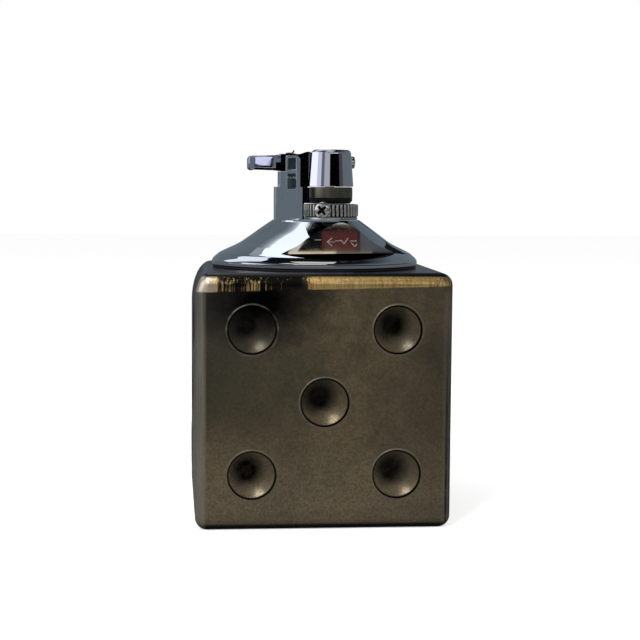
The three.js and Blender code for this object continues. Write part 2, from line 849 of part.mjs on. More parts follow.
// The rivet through the far side of the cap
function cap_rivet_form(clearance) {
  const seat = cap_radius_at(cap_top - rivet_drop - rivet_radius) + seat_gap - clearance;
  const head = turned([
    [0, seat - rivet_shank_length],
    [rivet_shank_radius + clearance, seat - rivet_shank_length],
    [rivet_shank_radius + clearance, seat],
    [rivet_radius + clearance, seat],
    [rivet_radius + clearance, seat + rivet_head / 2],
    [rivet_radius * pan_crown_share, seat + rivet_head],
    [0, seat + rivet_head],
  ], 0, 0, small_steps);
  return head.rotate([0, 90, 0]).translate([burner_axis_x, 0, cap_top - rivet_drop]);
}

function cap_rivet() {
  return cap_rivet_form(0);
}

function flint_tube() {
  const inner = flint_radius + running_gap;
  return turned([
    [inner, tube_bottom],
    [tube_radius, tube_bottom],
    [tube_radius, tube_top],
    [inner, tube_top],
  ], post_axis_x, 0, small_steps);
}

function flint() {
  return disc(flint_radius, flint_top - flint_length, flint_top, post_axis_x, 0, small_steps);
}

function flint_spring() {
  const top = flint_top - flint_length - seat_gap;
  const radius = flint_radius - running_gap - flint_spring_wire / 2;
  const bottom = top - flint_spring_length;
  return wound_spring('flint_spring', radius, flint_spring_turns, bottom, top, flint_spring_wire)
    .translate([post_axis_x, 0, 0]);
}

// The plug that closes the flint tube and loads its spring
function flint_screw() {
  const plug_top = flint_top - flint_length - flint_spring_length - 2 * seat_gap;
  const head_top = tube_bottom - seat_gap;
  const head_bottom = head_top - flint_screw_head;
  const plug = turned([
    [0, head_bottom],
    [flint_screw_head_radius, head_bottom],
    [flint_screw_head_radius, head_top],
    [flint_radius, head_top],
    [flint_radius, plug_top],
    [0, plug_top],
  ], post_axis_x, 0, small_steps);
  const wide = flint_screw_head_radius + overrun;
  return plug.subtract(block(
    [post_axis_x - wide, -flint_screw_slot / 2, head_bottom - overrun],
    [post_axis_x + wide, flint_screw_slot / 2, head_bottom + flint_screw_slot],
  ));
}

// The pin through the fork, riveted over behind
function wheel_axle() {
  const front = -post_half_depth + strip_depth;
  const back = post_half_depth + seat_gap;
  const pin = cross_rod(axle_radius, post_axis_x, axle_z, front, back + axle_head);
  return pin.add(cross_rod(axle_head_radius, post_axis_x, axle_z, back, back + axle_head));
}

// A toothed disc about the axle; lean 0.5 makes even teeth, and 0 makes saw teeth
function toothed_disc(radius, depth, teeth, lean, y_low, y_high) {
  const outline = [];
  for (let i = 0; i < teeth; i += 1) {
    const foot = (i / teeth) * 2 * Math.PI;
    const crest = ((i + lean) / teeth) * 2 * Math.PI;
    outline.push([foot, radius - depth], [crest, radius]);
  }
  const places = outline.map(([a, r]) => [post_axis_x + Math.cos(a) * r, axle_z + Math.sin(a) * r]);
  return sideways(places, y_low, y_high)
    .subtract(cross_rod(axle_radius + running_gap, post_axis_x, axle_z, y_low - overrun, y_high + overrun));
}

function spark_wheel() {
  const half = wheel_width / 2;
  return toothed_disc(wheel_radius, wheel_tooth_depth, wheel_teeth, wheel_lean_share, -half, half);
}

function ratchet_wheel() {
  const front = ratchet_front();
  const back = front + ratchet_width;
  return toothed_disc(ratchet_radius, ratchet_tooth_depth, ratchet_teeth, ratchet_lean_share, front, back);
}

function ratchet_front() {
  return wheel_width / 2 + seat_gap;
}

// Places on the lever are given from the axle
function from_axle(outline) {
  return outline.map(([x, z]) => [post_axis_x + x, axle_z + z]);
}

// The pressed lever: two cheeks on the axle, a thumb pad on one side and the cap arm on the other
function thumb_lever() {
  const outer = fork_slot / 2 - lever_gap;
  const half_pad = pad_width / 2;
  const curl_right = pad_left - pad_curl_depth;
  const arm_reach = burner_axis_x - cap_foot_radius - side_gap - post_axis_x;
  const arm_left = fork_right + lever_gap;
  const roof = lever_top;
  const arm_roof = roof + arm_rise;
  const cheek = from_axle([
    [-curl_right, -lever_foot],
    [lever_foot, -lever_foot],
    [arm_left, -arm_foot],
    [arm_reach, -arm_foot],
    [arm_reach, arm_roof],
    [arm_left, roof],
    [-fork_left, roof],
    [-pad_right, pad_top],
    [-curl_right, pad_top],
  ]);
  const pieces = [-1, 1].map((side) => {
    const near = side * outer;
    const far = side * (outer - lever_sheet);
    return sideways(cheek, Math.min(near, far), Math.max(near, far));
  });
  for (const side of [-1, 1]) {
    const near = side * half_pad;
    const far = side * (half_pad - lever_sheet);
    pieces.push(sideways(from_axle([
      [-curl_right, pad_top - pad_flange],
      [-pad_right - pad_sag, pad_top - pad_flange],
      [-pad_right, pad_top - pad_flange + pad_sag],
      [-pad_right, pad_top],
      [-curl_right, pad_top],
    ]), Math.min(near, far), Math.max(near, far)));
  }
  pieces.push(sideways(from_axle([
    [-curl_right, pad_top - lever_sheet],
    [-pad_right, pad_top - lever_sheet],
    [-pad_right, pad_top],
    [-curl_right, pad_top],
  ]), -half_pad, half_pad));
  pieces.push(sideways(from_axle(curl_outline()), -half_pad, half_pad));
  pieces.push(sideways(from_axle([
    [-pad_right, pad_top - lever_sheet],
    [-fork_left, roof - lever_sheet],
    [-fork_left, roof],
    [-pad_right, pad_top],
  ]), -outer, outer));
  pieces.push(sideways(from_axle([
    [wheel_radius + side_gap, roof - lever_sheet],
    [arm_reach, arm_roof - lever_sheet],
    [arm_reach, arm_roof],
    [wheel_radius + side_gap, roof],
  ]), -outer, outer));
  pieces.push(sideways(from_axle([
    [arm_reach - lever_sheet, -arm_foot],
    [arm_reach, -arm_foot],
    [arm_reach, arm_roof],
    [arm_reach - lever_sheet, arm_roof],
  ]), -outer, outer));
  return wasm.Manifold.union(pieces)
    .subtract(cross_rod(axle_radius + running_gap, post_axis_x, axle_z, -half_pad, half_pad));
}

// The rolled end of the thumb pad
function curl_outline() {
  const half = pad_curl_depth / 2;
  const x = -pad_left + half;
  const points = [];
  for (const [z, start] of [[pad_top - half, 0], [pad_top - pad_curl_height + half, Math.PI]]) {
    for (let i = 0; i <= arc_steps * 2; i += 1) {
      const angle = start + (i / (arc_steps * 2)) * Math.PI;
      points.push([x + Math.cos(angle) * half, z + Math.sin(angle) * half]);
    }
  }
  points.push([x + half + lever_sheet, pad_top - pad_curl_height + half]);
  points.push([x + half + lever_sheet, pad_top - half]);
  return points;
}

// The leaf that rides with the lever and pushes the ratchet round
function drive_pawl() {
  const low = ratchet_front();
  const top = pad_top - lever_sheet - seat_gap;
  const over = ratchet_radius + side_gap;
  const leaf = from_axle([
    [-pad_right, top],
    [-pad_right, top - pawl_sheet],
    [-over, top - pawl_sheet],
    [-pawl_tip, over],
    [0, ratchet_radius - running_gap],
    [pawl_tip, over],
    [pawl_tip + pawl_sheet, over + pawl_tip],
    [pawl_tip, over + pawl_tip],
    [pawl_tip / 2, over + pawl_sheet],
    [-pawl_tip, over + pawl_sheet],
    [-over, top],
  ]);
  return sideways(leaf, low, low + ratchet_width);
}

// The return spring beside the wheel: a short coil on the axle with two straight legs
function lever_spring() {
  const back = -wheel_width / 2 - seat_gap;
  const wire = lever_spring_wire;
  const turns = lever_spring_turns;
  const length = turns * lever_spring_pitch + wire;
  return wound_spring('lever_spring', lever_spring_radius, turns, 0, length, wire, lever_spring_leg)
    .rotate([-90, 180, 0])
    .translate([post_axis_x, back - length, axle_z]);
}

function filler_bottom() {
  return tank_bottom - seat_gap - filler_head;
}

// The refill valve pushed up through the floor of the tank
function filler_valve() {
  const bottom = filler_bottom();
  const top = tank_bottom + filler_length;
  return turned([
    [filler_bore, bottom],
    [filler_head_radius, bottom],
    [filler_head_radius, bottom + filler_head],
    [filler_radius, bottom + filler_head],
    [filler_radius, top],
    [0, top],
    [0, top - filler_roof],
    [filler_bore, top - filler_roof],
  ], 0, 0, small_steps);
}

function filler_pin_top() {
  return filler_bottom() + filler_pin_recess + filler_pin_length;
}

function filler_pin() {
  return disc(filler_pin_radius, filler_bottom() + filler_pin_recess, filler_pin_top(), 0, 0, small_steps);
}

function filler_spring() {
  const top = tank_bottom + filler_length - filler_roof - seat_gap;
  const radius = filler_pin_radius - filler_spring_wire / 2;
  const bottom = filler_pin_top() + seat_gap;
  return wound_spring('filler_spring', radius, filler_spring_turns, bottom, top, filler_spring_wire);
}

add('body_shell', body_shell(), antique_brass);
add('base_plate', base_plate(), steel);
corner_places(boss_spacing).forEach(([x, y], i) => {
  add(`base_screw_${i + 1}`, countersunk(0, 0, x, y), steel);
});
add('felt_pad', felt_pad(), felt);
add('skirt_casting', skirt_casting(), chrome);
add('gasket_ring', gasket_ring(), rubber);
add('friction_band', friction_band(), steel);
add('tank_lid', tank_lid(), smoked_plastic);
add('lid_seal', lid_seal(), rubber);
add('fuel_tank', fuel_tank(), smoked_plastic);
add('valve_body', valve_body(), brass);
add('wick', wick(), felt_white);
add('filler_valve', filler_valve(), brass);
add('filler_pin', filler_pin(), brass);
add('filler_spring', filler_spring(), steel);
add('adjusting_ring', adjusting_ring(), nickel);
add('ring_screw', ring_screw(), nickel);
add('burner_neck', burner_neck(), black_plastic);
add('burner_cup', burner_cup(), dark_brass);
add('burner_nozzle', burner_nozzle(), brass);
add('nozzle_spring', nozzle_spring(), steel);
add('flint_tube', flint_tube(), brass);
add('flint', flint(), flint_alloy);
add('flint_spring', flint_spring(), steel);
add('flint_screw', flint_screw(), brass);
add('wheel_axle', wheel_axle(), steel);
add('spark_wheel', spark_wheel(), steel);
add('ratchet_wheel', ratchet_wheel(), steel);
add('drive_pawl', drive_pawl(), steel);
add('lever_spring', lever_spring(), steel);
add('thumb_lever', thumb_lever(), chrome);
add('burner_cap', burner_cap(), chrome);
add('cap_seal', cap_seal(), rubber);
add('cap_rivet', cap_rivet(), chrome);

export default group;
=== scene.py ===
# A die-shaped table lighter: an old brass cube with pips, and a chromed gas insert standing in its mouth.
import math
import random

import bmesh
import bpy
from mathutils import Matrix, Vector


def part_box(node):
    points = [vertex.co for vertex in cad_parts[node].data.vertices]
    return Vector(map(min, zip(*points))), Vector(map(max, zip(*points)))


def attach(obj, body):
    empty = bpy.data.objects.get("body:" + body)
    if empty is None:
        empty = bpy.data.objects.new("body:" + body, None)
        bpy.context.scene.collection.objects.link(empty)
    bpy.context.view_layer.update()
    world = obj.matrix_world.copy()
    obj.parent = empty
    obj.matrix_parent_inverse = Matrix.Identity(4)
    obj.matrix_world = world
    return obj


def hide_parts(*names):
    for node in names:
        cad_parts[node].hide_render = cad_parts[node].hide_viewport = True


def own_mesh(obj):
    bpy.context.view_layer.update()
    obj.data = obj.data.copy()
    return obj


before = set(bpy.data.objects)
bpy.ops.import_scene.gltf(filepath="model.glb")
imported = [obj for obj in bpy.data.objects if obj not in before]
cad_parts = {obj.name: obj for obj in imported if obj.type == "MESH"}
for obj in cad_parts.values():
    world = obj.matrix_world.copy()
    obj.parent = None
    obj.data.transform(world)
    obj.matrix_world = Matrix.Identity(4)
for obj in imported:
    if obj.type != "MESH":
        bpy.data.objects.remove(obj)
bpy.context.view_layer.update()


# Camera: placed where the photograph was taken, 385 mm in front of the cube and a little to its left.
# The lens is fitted to the cube's edges and pips.
camera_place_mm = (-37.75, -417.29, 86.62)
camera_turn_deg = 5.39
camera_tilt_deg = 5.09
camera_roll_deg = 0.42
lens_mm = 89.67
sensor_mm = 36.0
nearest_seen = 0.01


def added(name, data):
    """A new object in the scene, at the origin."""
    made = bpy.data.objects.new(name, data)
    bpy.context.scene.collection.objects.link(made)
    return made


def camera_frame(turn, tilt, roll):
    """The camera's axes as a matrix, from its three angles."""
    forward = Vector((math.sin(turn) * math.cos(tilt), math.cos(turn) * math.cos(tilt), -math.sin(tilt)))
    right = Vector((math.cos(turn), -math.sin(turn), 0.0))
    up = right.cross(forward)
    side = right * math.cos(roll) + up * math.sin(roll)
    top = up * math.cos(roll) - right * math.sin(roll)
    return Matrix((side, top, -forward)).transposed()


camera_data = bpy.data.cameras.new("camera")
camera_data.sensor_width = sensor_mm
camera_data.lens = lens_mm
camera_data.clip_start = nearest_seen
camera = added("camera", camera_data)
camera.matrix_world = Matrix.Translation(Vector(camera_place_mm) / 1000) @ camera_frame(
    math.radians(camera_turn_deg), math.radians(camera_tilt_deg), math.radians(camera_roll_deg)
).to_4x4()
bpy.context.scene.camera = camera


# Studio: a white sweep under the lighter, a large soft lamp from the upper left and a weaker one from the
# right. Mirrors see a grey room instead, with windows, sills and a dark roof made of cards.
floor_white = 0xF4F4F4
floor_mirrored = 0x96989C
floor_glow = 0.55
half_floor = 2.0
room_low = (0.18, 0.215, 0.245, 1.0)
room_middle = (0.15, 0.18, 0.205, 1.0)
room_high = (0.008, 0.008, 0.010, 1.0)


def linear(value):
    """An sRGB hex colour as linear RGBA."""
    parts = [((value >> shift) & 255) / 255 for shift in (16, 8, 0)]
    return [p / 12.92 if p <= 0.04045 else ((p + 0.055) / 1.055) ** 2.4 for p in parts] + [1.0]


def node(tree, kind, inputs=None, **settings):
    """Adds a node; an input is a value or the output socket that feeds it."""
    made = tree.nodes.new(kind)
    for name, value in settings.items():
        setattr(made, name, value)
    for name, value in (inputs or {}).items():
        socket = made.inputs[name]
        if isinstance(value, bpy.types.NodeSocket):
            tree.links.new(value, socket)
        else:
            socket.default_value = value
    return made


def span(value, start, end, low=0.0, high=1.0):
    """Maps a value from one range to another, held at its ends."""
    return node(value.id_data, "ShaderNodeMapRange", {"Value": value, "From Min": start, "From Max": end,
                                                      "To Min": low, "To Max": high}).outputs[0]


def folded(operation, first, *others):
    """Works a row of values down to one."""
    for other in others:
        first = node(first.id_data, "ShaderNodeMath", {0: first, 1: other}, operation=operation).outputs[0]
    return first


def plus(*values):
    return folded("ADD", *values)


def times(*values):
    return folded("MULTIPLY", *values)


def most(*values):
    return folded("MAXIMUM", *values)


def between(factor, first, second):
    """Mixes two colours, each a hex value or a socket."""
    first, second = [linear(c) if isinstance(c, int) else c for c in (first, second)]
    return node(factor.id_data, "ShaderNodeMix", {"Factor": factor, 6: first, 7: second},
                data_type="RGBA").outputs[2]


def blank(name):
    """A material without nodes, and its node tree."""
    paint = bpy.data.materials.new(name)
    paint.use_nodes = True
    paint.node_tree.nodes.clear()
    return paint, paint.node_tree


def white_floor():
    """White to the eye, where it also glows, and grey to a mirror."""
    paint, tree = blank("white_sweep")
    rays = node(tree, "ShaderNodeLightPath").outputs
    tone = between(rays["Is Glossy Ray"], floor_white, floor_mirrored)
    matt = node(tree, "ShaderNodeBsdfDiffuse", {"Color": tone}).outputs[0]
    glow = node(tree, "ShaderNodeEmission", {"Color": linear(0xFFFFFF), "Strength": floor_glow}).outputs[0]
    both = node(tree, "ShaderNodeAddShader", {0: matt, 1: glow}).outputs[0]
    seen = node(tree, "ShaderNodeMixShader", {0: rays["Is Camera Ray"], 1: matt, 2: both}).outputs[0]
    node(tree, "ShaderNodeOutputMaterial", {"Surface": seen})
    return paint


def meshed(name, points, faces):
    """A mesh object at the origin."""
    mesh = bpy.data.meshes.new(name)
    mesh.from_pydata(points, [], faces)
    return added(name, mesh)


floor = meshed("floor", [(-half_floor, -half_floor, 0), (half_floor, -half_floor, 0),
                         (half_floor, half_floor, 0), (-half_floor, half_floor, 0)], [(0, 1, 2, 3)])
floor.data.materials.append(white_floor())


def grey_room(tree):
    """White to the eye, soft light from above on what is matt, grey walls under a dark roof in mirrors."""
    tree.nodes.clear()
    rays = node(tree, "ShaderNodeLightPath").outputs
    seen = most(rays["Is Camera Ray"], rays["Is Transmission Ray"])
    direction = node(tree, "ShaderNodeTexCoord").outputs["Generated"]
    up = node(tree, "ShaderNodeSeparateXYZ", {0: direction}).outputs["Z"]
    walls = node(tree, "ShaderNodeValToRGB", {0: up})
    low, high = walls.color_ramp.elements
    low.position, low.color = 0.0, room_low
    high.position, high.color = 0.88, room_high
    walls.color_ramp.elements.new(0.62).color = room_middle
    lit = between(rays["Is Glossy Ray"], span(up, -0.05, 0.75, 0.95, 0.35), walls.outputs["Color"])
    light = node(tree, "ShaderNodeBackground", {"Color": between(seen, lit, 0xFFFFFF), "Strength": 1.0})
    node(tree, "ShaderNodeOutputWorld", {"Surface": light.outputs[0]})


bpy.context.scene.world = bpy.data.worlds.new("studio")
bpy.context.scene.world.use_nodes = True
grey_room(bpy.context.scene.world.node_tree)
bpy.context.scene.view_settings.view_transform = "Standard"

lamp_aim = Vector((0.0, 0.0, 0.05))


def lamp(name, place, size, power, mirrored):
    """A rectangular lamp turned to the middle of the lighter."""
    data = bpy.data.lights.new(name, "AREA")
    data.shape = "RECTANGLE"
    data.size, data.size_y = size
    data.energy = power
    made = added(name, data)
    made.location = place
    made.rotation_euler = (lamp_aim - Vector(place)).to_track_quat("-Z", "Y").to_euler()
    made.visible_glossy = mirrored
    return made


lamp("key", (-0.3, -0.46, 0.55), (0.26, 0.26), 3.6, False)
glint = lamp("glint", (-0.27, -0.46, 0.58), (0.26, 0.26), 3.2, True)
lamp("fill", (0.6, -0.3, 0.3), (0.2, 0.6), 1.6, False)

card_hub = Vector((0.0, 0.0, 0.08))
card_reach = 0.7


def card(name, corners, tone, faces=None):
    """A glowing or black card that only mirrors see."""
    made = meshed(name, corners, faces or [tuple(range(len(corners)))])
    paint, tree = blank(name)
    glow = node(tree, "ShaderNodeEmission", {"Color": tone + (1.0,), "Strength": 1.0})
    node(tree, "ShaderNodeOutputMaterial", {"Surface": glow.outputs[0]})
    made.data.materials.append(paint)
    for ray in ("camera", "diffuse", "transmission", "shadow"):
        setattr(made, "visible_" + ray, False)


def heading(azimuth_deg, elevation_deg):
    """A direction, its azimuth counted from the front towards the right."""
    azimuth, elevation = math.radians(azimuth_deg), math.radians(elevation_deg)
    return Vector((math.sin(azimuth) * math.cos(elevation), -math.cos(azimuth) * math.cos(elevation),
                   math.sin(elevation)))


def far_card(name, azimuth_deg, elevation_deg, across_deg, tall_deg, tone):
    """A far rectangle square to its heading."""
    aim = heading(azimuth_deg, elevation_deg)
    right = heading(azimuth_deg + 90, 0)
    hub = card_hub + aim * card_reach
    half_right = right * math.tan(math.radians(across_deg / 2)) * card_reach
    half_up = aim.cross(right) * math.tan(math.radians(tall_deg / 2)) * card_reach
    card(name, [hub + half_right * a + half_up * b for a, b in ((-1, -1), (1, -1), (1, 1), (-1, 1))], tone)


def sky_card(name, headings, tone):
    """A far polygon with a corner at each heading."""
    card(name, [card_hub + heading(*corner) * card_reach for corner in headings], tone)


far_card("black_front", 14, 9, 52, 10, (0.0, 0.0, 0.0))
far_card("grey_door", 50, 9, 20, 10, (0.085, 0.085, 0.095))
far_card("front_window", -24, 12, 24, 20, (0.62, 0.6, 0.62))
far_card("left_window", -79.5, 17, 35, 32, (1.5, 1.55, 1.7))
far_card("left_curtain", -54.5, 17, 15, 32, (0.85, 0.87, 1.0))
sky_card("back_window", ((-157, 52), (-160, 48), (-164, 42.5), (-168, 40.5), (-171, 36), (180, 35), (176, 50),
                         (170.5, 57), (170.5, 69), (-165, 69), (-153, 62), (-153, 54)), (1.5, 1.55, 1.65))
sky_card("back_curtain", ((-155, 47), (-160, 40), (-165, 36.5), (-170, 32.5), (-176, 31), (-178, 34.5),
                          (-171, 35.5), (-168, 40), (-164, 42), (-160, 47.5), (-157, 51.5)),
         (0.4, 0.43, 0.48))
sky_card("side_window", ((-149, 42), (-138, 22), (-120, 20), (-118, 57), (-147, 60)), (1.2, 1.25, 1.35))
sky_card("dark_roof", ((170, 48), (145, 48), (145, 64), (170, 64)), (0.0, 0.0, 0.0))
sky_card("front_skylight", ((-38, 52), (14, 52), (14, 62), (-38, 62)), (1.5, 1.55, 1.65))
sky_card("rim_window", ((-66, 58), (-38, 62.5), (-38, 68), (-66, 68)), (1.3, 1.3, 1.25))
far_card("pad_window", 0, 21, 70, 13, (1.1, 1.1, 1.35))
far_card("dark_shelf", 172, 19, 26, 12, (0.01, 0.01, 0.012))
far_card("cream_ceiling", 0, 88, 24, 24, (0.9, 0.85, 0.72))

# What the flat facet of the skirt mirrors: a cloth between a beam and a sill, up and to the back right.
# Corners are in tenths of a millimetre.
facet_cards = (
    ("maroon_cloth", (0.12, 0.034, 0.03),
     ((749, 345, 3069), (885, 372, 3018), (904, 293, 3027), (768, 266, 3078))),
    ("cream_beam", (1.1, 0.95, 0.7),
     ((725, 378, 3071), (941, 421, 2990), (944, 413, 2992), (727, 371, 3072))),
    ("cream_sill", (1.1, 0.9, 0.6),
     ((642, 238, 3126), (822, 274, 3059), (824, 252, 3060), (643, 213, 3127))),
    ("brown_sill", (0.3, 0.23, 0.15),
     ((822, 274, 3059), (958, 301, 3009), (960, 279, 3010), (824, 252, 3060))),
    ("cream_edge", (0.8, 0.74, 0.62),
     ((639, 232, 3127), (673, 240, 3114), (688, 281, 3102), (699, 314, 3092), (684, 302, 3099),
      (665, 276, 3110))),
    ("grey_wall", (0.12, 0.12, 0.13),
     ((891, 382, 3015), (1042, 412, 2958), (1065, 321, 2969), (913, 291, 3025))),
)
for name, tone, corners in facet_cards:
    card(name, [Vector(corner) / 10000 for corner in corners], tone)


# Die body: a hollow brass cube, cast and plated dark, with a shallow pip pressed in for each number.
# Hands and cleaning have rubbed the top edges back to bare brass. Its foot is open for the base plate.
def shaped(name, points_mm, faces):
    """A mesh object at the origin from points in millimetres."""
    return meshed(name, [[c / 1000 for c in p] for p in points_mm], faces)


def lofted(name, rings):
    """A closed skin over rings of equal point counts, capped at both ends."""
    count = len(rings[0])
    points = [p for ring in rings for p in ring]
    faces = [tuple(reversed(range(count))), tuple(range(len(points) - count, len(points)))]
    for level in range(len(rings) - 1):
        for i in range(count):
            j = (i + 1) % count
            low, high = level * count, (level + 1) * count
            faces.append((low + i, low + j, high + j, high + i))
    return shaped(name, points, faces)


def reworked(piece, *changes):
    """Edits a piece's mesh by functions of its bmesh."""
    work = bmesh.new()
    work.from_mesh(piece.data)
    for change in changes:
        change(work)
    work.to_mesh(piece.data)
    work.free()
    return piece


def welded(work):
    bmesh.ops.remove_doubles(work, verts=work.verts, dist=1e-6)


def faced_out(work):
    bmesh.ops.recalc_face_normals(work, faces=work.faces)


def tidy(piece):
    """Merges doubles and points every face outwards."""
    return reworked(piece, welded, faced_out)


def applied(piece):
    """Turns a piece's live modifiers into its mesh."""
    graph = bpy.context.evaluated_depsgraph_get()
    mesh = bpy.data.meshes.new_from_object(piece.evaluated_get(graph))
    piece.modifiers.clear()
    piece.data = mesh
    return piece


def combined(piece, others, operation):
    """Joins or cuts a piece with others, which are then gone."""
    for other in others:
        change = piece.modifiers.new(operation.lower(), "BOOLEAN")
        change.operation = operation
        change.solver = "EXACT"
        change.object = other
    applied(piece)
    for other in others:
        bpy.data.objects.remove(other)
    return piece


def revolved(name, profile, centre=(0.0, 0.0), steps=96):
    """Spins a profile of (radius, height) about an upright axis; it starts and ends on the axis or closes."""
    points = []
    rows = []
    for radius, height in profile:
        if radius < 1e-6:
            rows.append([len(points)] * steps)
            points.append((centre[0], centre[1], height))
            continue
        rows.append(range(len(points), len(points) + steps))
        for i in range(steps):
            angle = 2 * math.pi * i / steps
            x = centre[0] + radius * math.cos(angle)
            points.append((x, centre[1] + radius * math.sin(angle), height))
    loop = list(zip(rows, rows[1:]))
    if profile[0][0] > 1e-6:
        loop.append((rows[-1], rows[0]))
    faces = []
    for low, high in loop:
        for i in range(steps):
            j = (i + 1) % steps
            corners = [low[i], low[j], high[j], high[i]]
            faces.append([c for k, c in enumerate(corners) if c not in corners[:k]])
    return tidy(shaped(name, points, [f for f in faces if len(f) > 2]))


box_faces = ((0, 1, 3, 2), (4, 6, 7, 5), (0, 4, 5, 1), (2, 3, 7, 6), (0, 2, 6, 4), (1, 5, 7, 3))


def rounded_box(name, low, high, radius, segments, upright_only=False):
    """A box with round edges: all of them, or the upright ones."""
    corners = [(x, y, z) for x in (low[0], high[0]) for y in (low[1], high[1]) for z in (low[2], high[2])]

    def rounded(work):
        edges = [e for e in work.edges
                 if not upright_only or abs(e.verts[0].co.z - e.verts[1].co.z) > 1e-6]
        if radius > 0:
            bmesh.ops.bevel(work, geom=edges, offset=radius / 1000, segments=segments, profile=0.5,
                            affect="EDGES")

    return reworked(shaped(name, corners, box_faces), faced_out, rounded)


def smoothed(piece, angle_deg=30.0):
    """Smooth shading, broken at edges sharper than an angle."""
    piece.data.shade_smooth()
    piece.data.set_sharp_from_angle(angle=math.radians(angle_deg))
    return levelled(piece)


def levelled(piece):
    """Weights normals by face area, so that flats next to small round edges shade flat."""
    piece.modifiers.new("normals", "WEIGHTED_NORMAL").keep_sharp = True
    return applied(piece)


def bevelled(piece, width_mm, segments=2, angle_deg=35.0):
    """Breaks the sharp edges, as tumbling and plating do."""
    edge = piece.modifiers.new("edges", "BEVEL")
    edge.width = width_mm / 1000
    edge.segments = segments
    edge.limit_method = "ANGLE"
    edge.angle_limit = math.radians(angle_deg)
    edge.use_clamp_overlap = True
    return applied(piece)


def dressed(piece, paint, body, slot, *nodes, mirrored=True):
    """Gives a finished piece its material and its body, and hides the CAD nodes that it stands for.

    What stands on the skirt isn't mirrored, so that the skirt reflects only the room.
    """
    if paint:
        piece.data.materials.clear()
        piece.data.materials.append(paint)
    piece.visible_glossy = mirrored
    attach(piece, body)
    if nodes:
        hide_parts(*nodes)
    return piece


def box_mm(name):
    """The corners of a CAD node's box in millimetres."""
    low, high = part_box(name)
    return [c * 1000 for c in low], [c * 1000 for c in high]


die_low, die_high = box_mm("body_shell")
die_size = die_high[0] - die_low[0]
die_edge = 3.0
edge_steps = 9
corner_steps = 10
worn_width = (3.4, 2.0)
worn_height = (6.0, 5.0)
die_wall = 3.2
die_roof = 4.0
die_mouth = 23.3
mouth_chamfer = 0.5
chamfer_foot, chamfer_top = 63.1, 63.7
hollow_round = 2.0
overrun = 2.0
pip_radius = 5.95
pip_depth = 2.2
pip_step = 17.9
pip_lip = 0.16
pip_groove = 0.22
pip_steps = 12
pip_past = 1.0
groove_depth = 1.6 * pip_groove
pip_middle = die_high[2] / 2
pip_sides = (
    (0, ((-1, -1), (1, -1), (0, 0), (-1, 1), (1, 1))),
    (1, ((-1, -1), (1, -1), (-1, 1), (1, 1))),
    (2, ((-1, 1), (1, -1))),
    (3, ((-1, -1), (0, 0), (1, 1))),
)


def pip_profile(raise_lip):
    """The hollow and its groove as a cutter, or the low lip round it."""
    if raise_lip:
        ring = pip_radius + 2 * pip_groove
        return [(pip_radius - pip_groove, 0.5), (pip_radius - pip_groove, -pip_lip / 3),
                (pip_radius + pip_groove, -pip_lip), (ring, -pip_lip / 2), (ring + pip_groove, 0.0),
                (ring + pip_groove, 0.5)]
    ball = (pip_radius ** 2 + pip_depth ** 2) / (2 * pip_depth)
    turns = [math.asin(pip_radius / ball) * i / pip_steps for i in range(pip_steps)]
    arc = [(math.sin(turn) * ball, pip_depth - ball + math.cos(turn) * ball) for turn in turns]
    return arc + [(pip_radius - pip_groove, groove_depth), (pip_radius, groove_depth),
                  (pip_radius + pip_groove / 2, -pip_past), (0.0, -pip_past)]


def placed_pip(turn, across, up, raise_lip):
    piece = revolved("pip", pip_profile(raise_lip), steps=64)
    side = Matrix.Rotation(math.pi / 2 * turn, 4, "Z")
    place = Vector((across * pip_step, -die_size / 2, pip_middle + up * pip_step)) / 1000
    piece.data.transform(side @ Matrix.Translation(place) @ Matrix.Rotation(-math.pi / 2, 4, "X"))
    return piece


def die_outline(inset, back):
    """The cube from the front, drawn in by an inset; its top left corner is worn, and most at the back."""
    half = die_size / 2
    cast = (die_edge, die_edge)
    worn = (worn_width[0] + worn_width[1] * back, worn_height[0] + worn_height[1] * back)
    outline = []
    for x, z, (wide, tall), start in ((half, die_high[2], cast, 0.0), (-half, die_high[2], worn, 0.5),
                                      (-half, 0.0, cast, 1.0), (half, 0.0, cast, 1.5)):
        for i in range(corner_steps + 1):
            angle = math.pi * (start + i / corner_steps / 2)
            outline.append((x - math.copysign(wide, x) + math.cos(angle) * (wide - inset),
                            z - math.copysign(tall, z - 1.0) + math.sin(angle) * (tall - inset)))
    return outline


def pip_cells(work):
    """Cuts every side into a cell for each pip, so that no face holds more than one."""
    for side in (-1, 1):
        step = side * pip_step / 2
        for place, normal in (((step, 0, 0), (1, 0, 0)), ((0, step, 0), (0, 1, 0)),
                              ((0, 0, pip_middle + step), (0, 0, 1))):
            bmesh.ops.bisect_plane(work, geom=work.verts[:] + work.edges[:] + work.faces[:],
                                   plane_co=Vector(place) / 1000, plane_no=normal)


def worn_cube():
    """The cube as rings from its front to its back, every edge round."""
    rings = []
    for side in (-1, 1):
        for i in range(edge_steps + 1):
            angle = math.pi / 2 * (i if side < 0 else edge_steps - i) / edge_steps
            inset = min(die_edge * (1 - math.sin(angle)), die_edge - 0.2)
            y = side * (die_size / 2 - die_edge * (1 - math.cos(angle)))
            rings.append([(x, y, z) for x, z in die_outline(inset, y / die_size + 0.5)])
    return reworked(tidy(lofted("die_body", rings)), pip_cells)


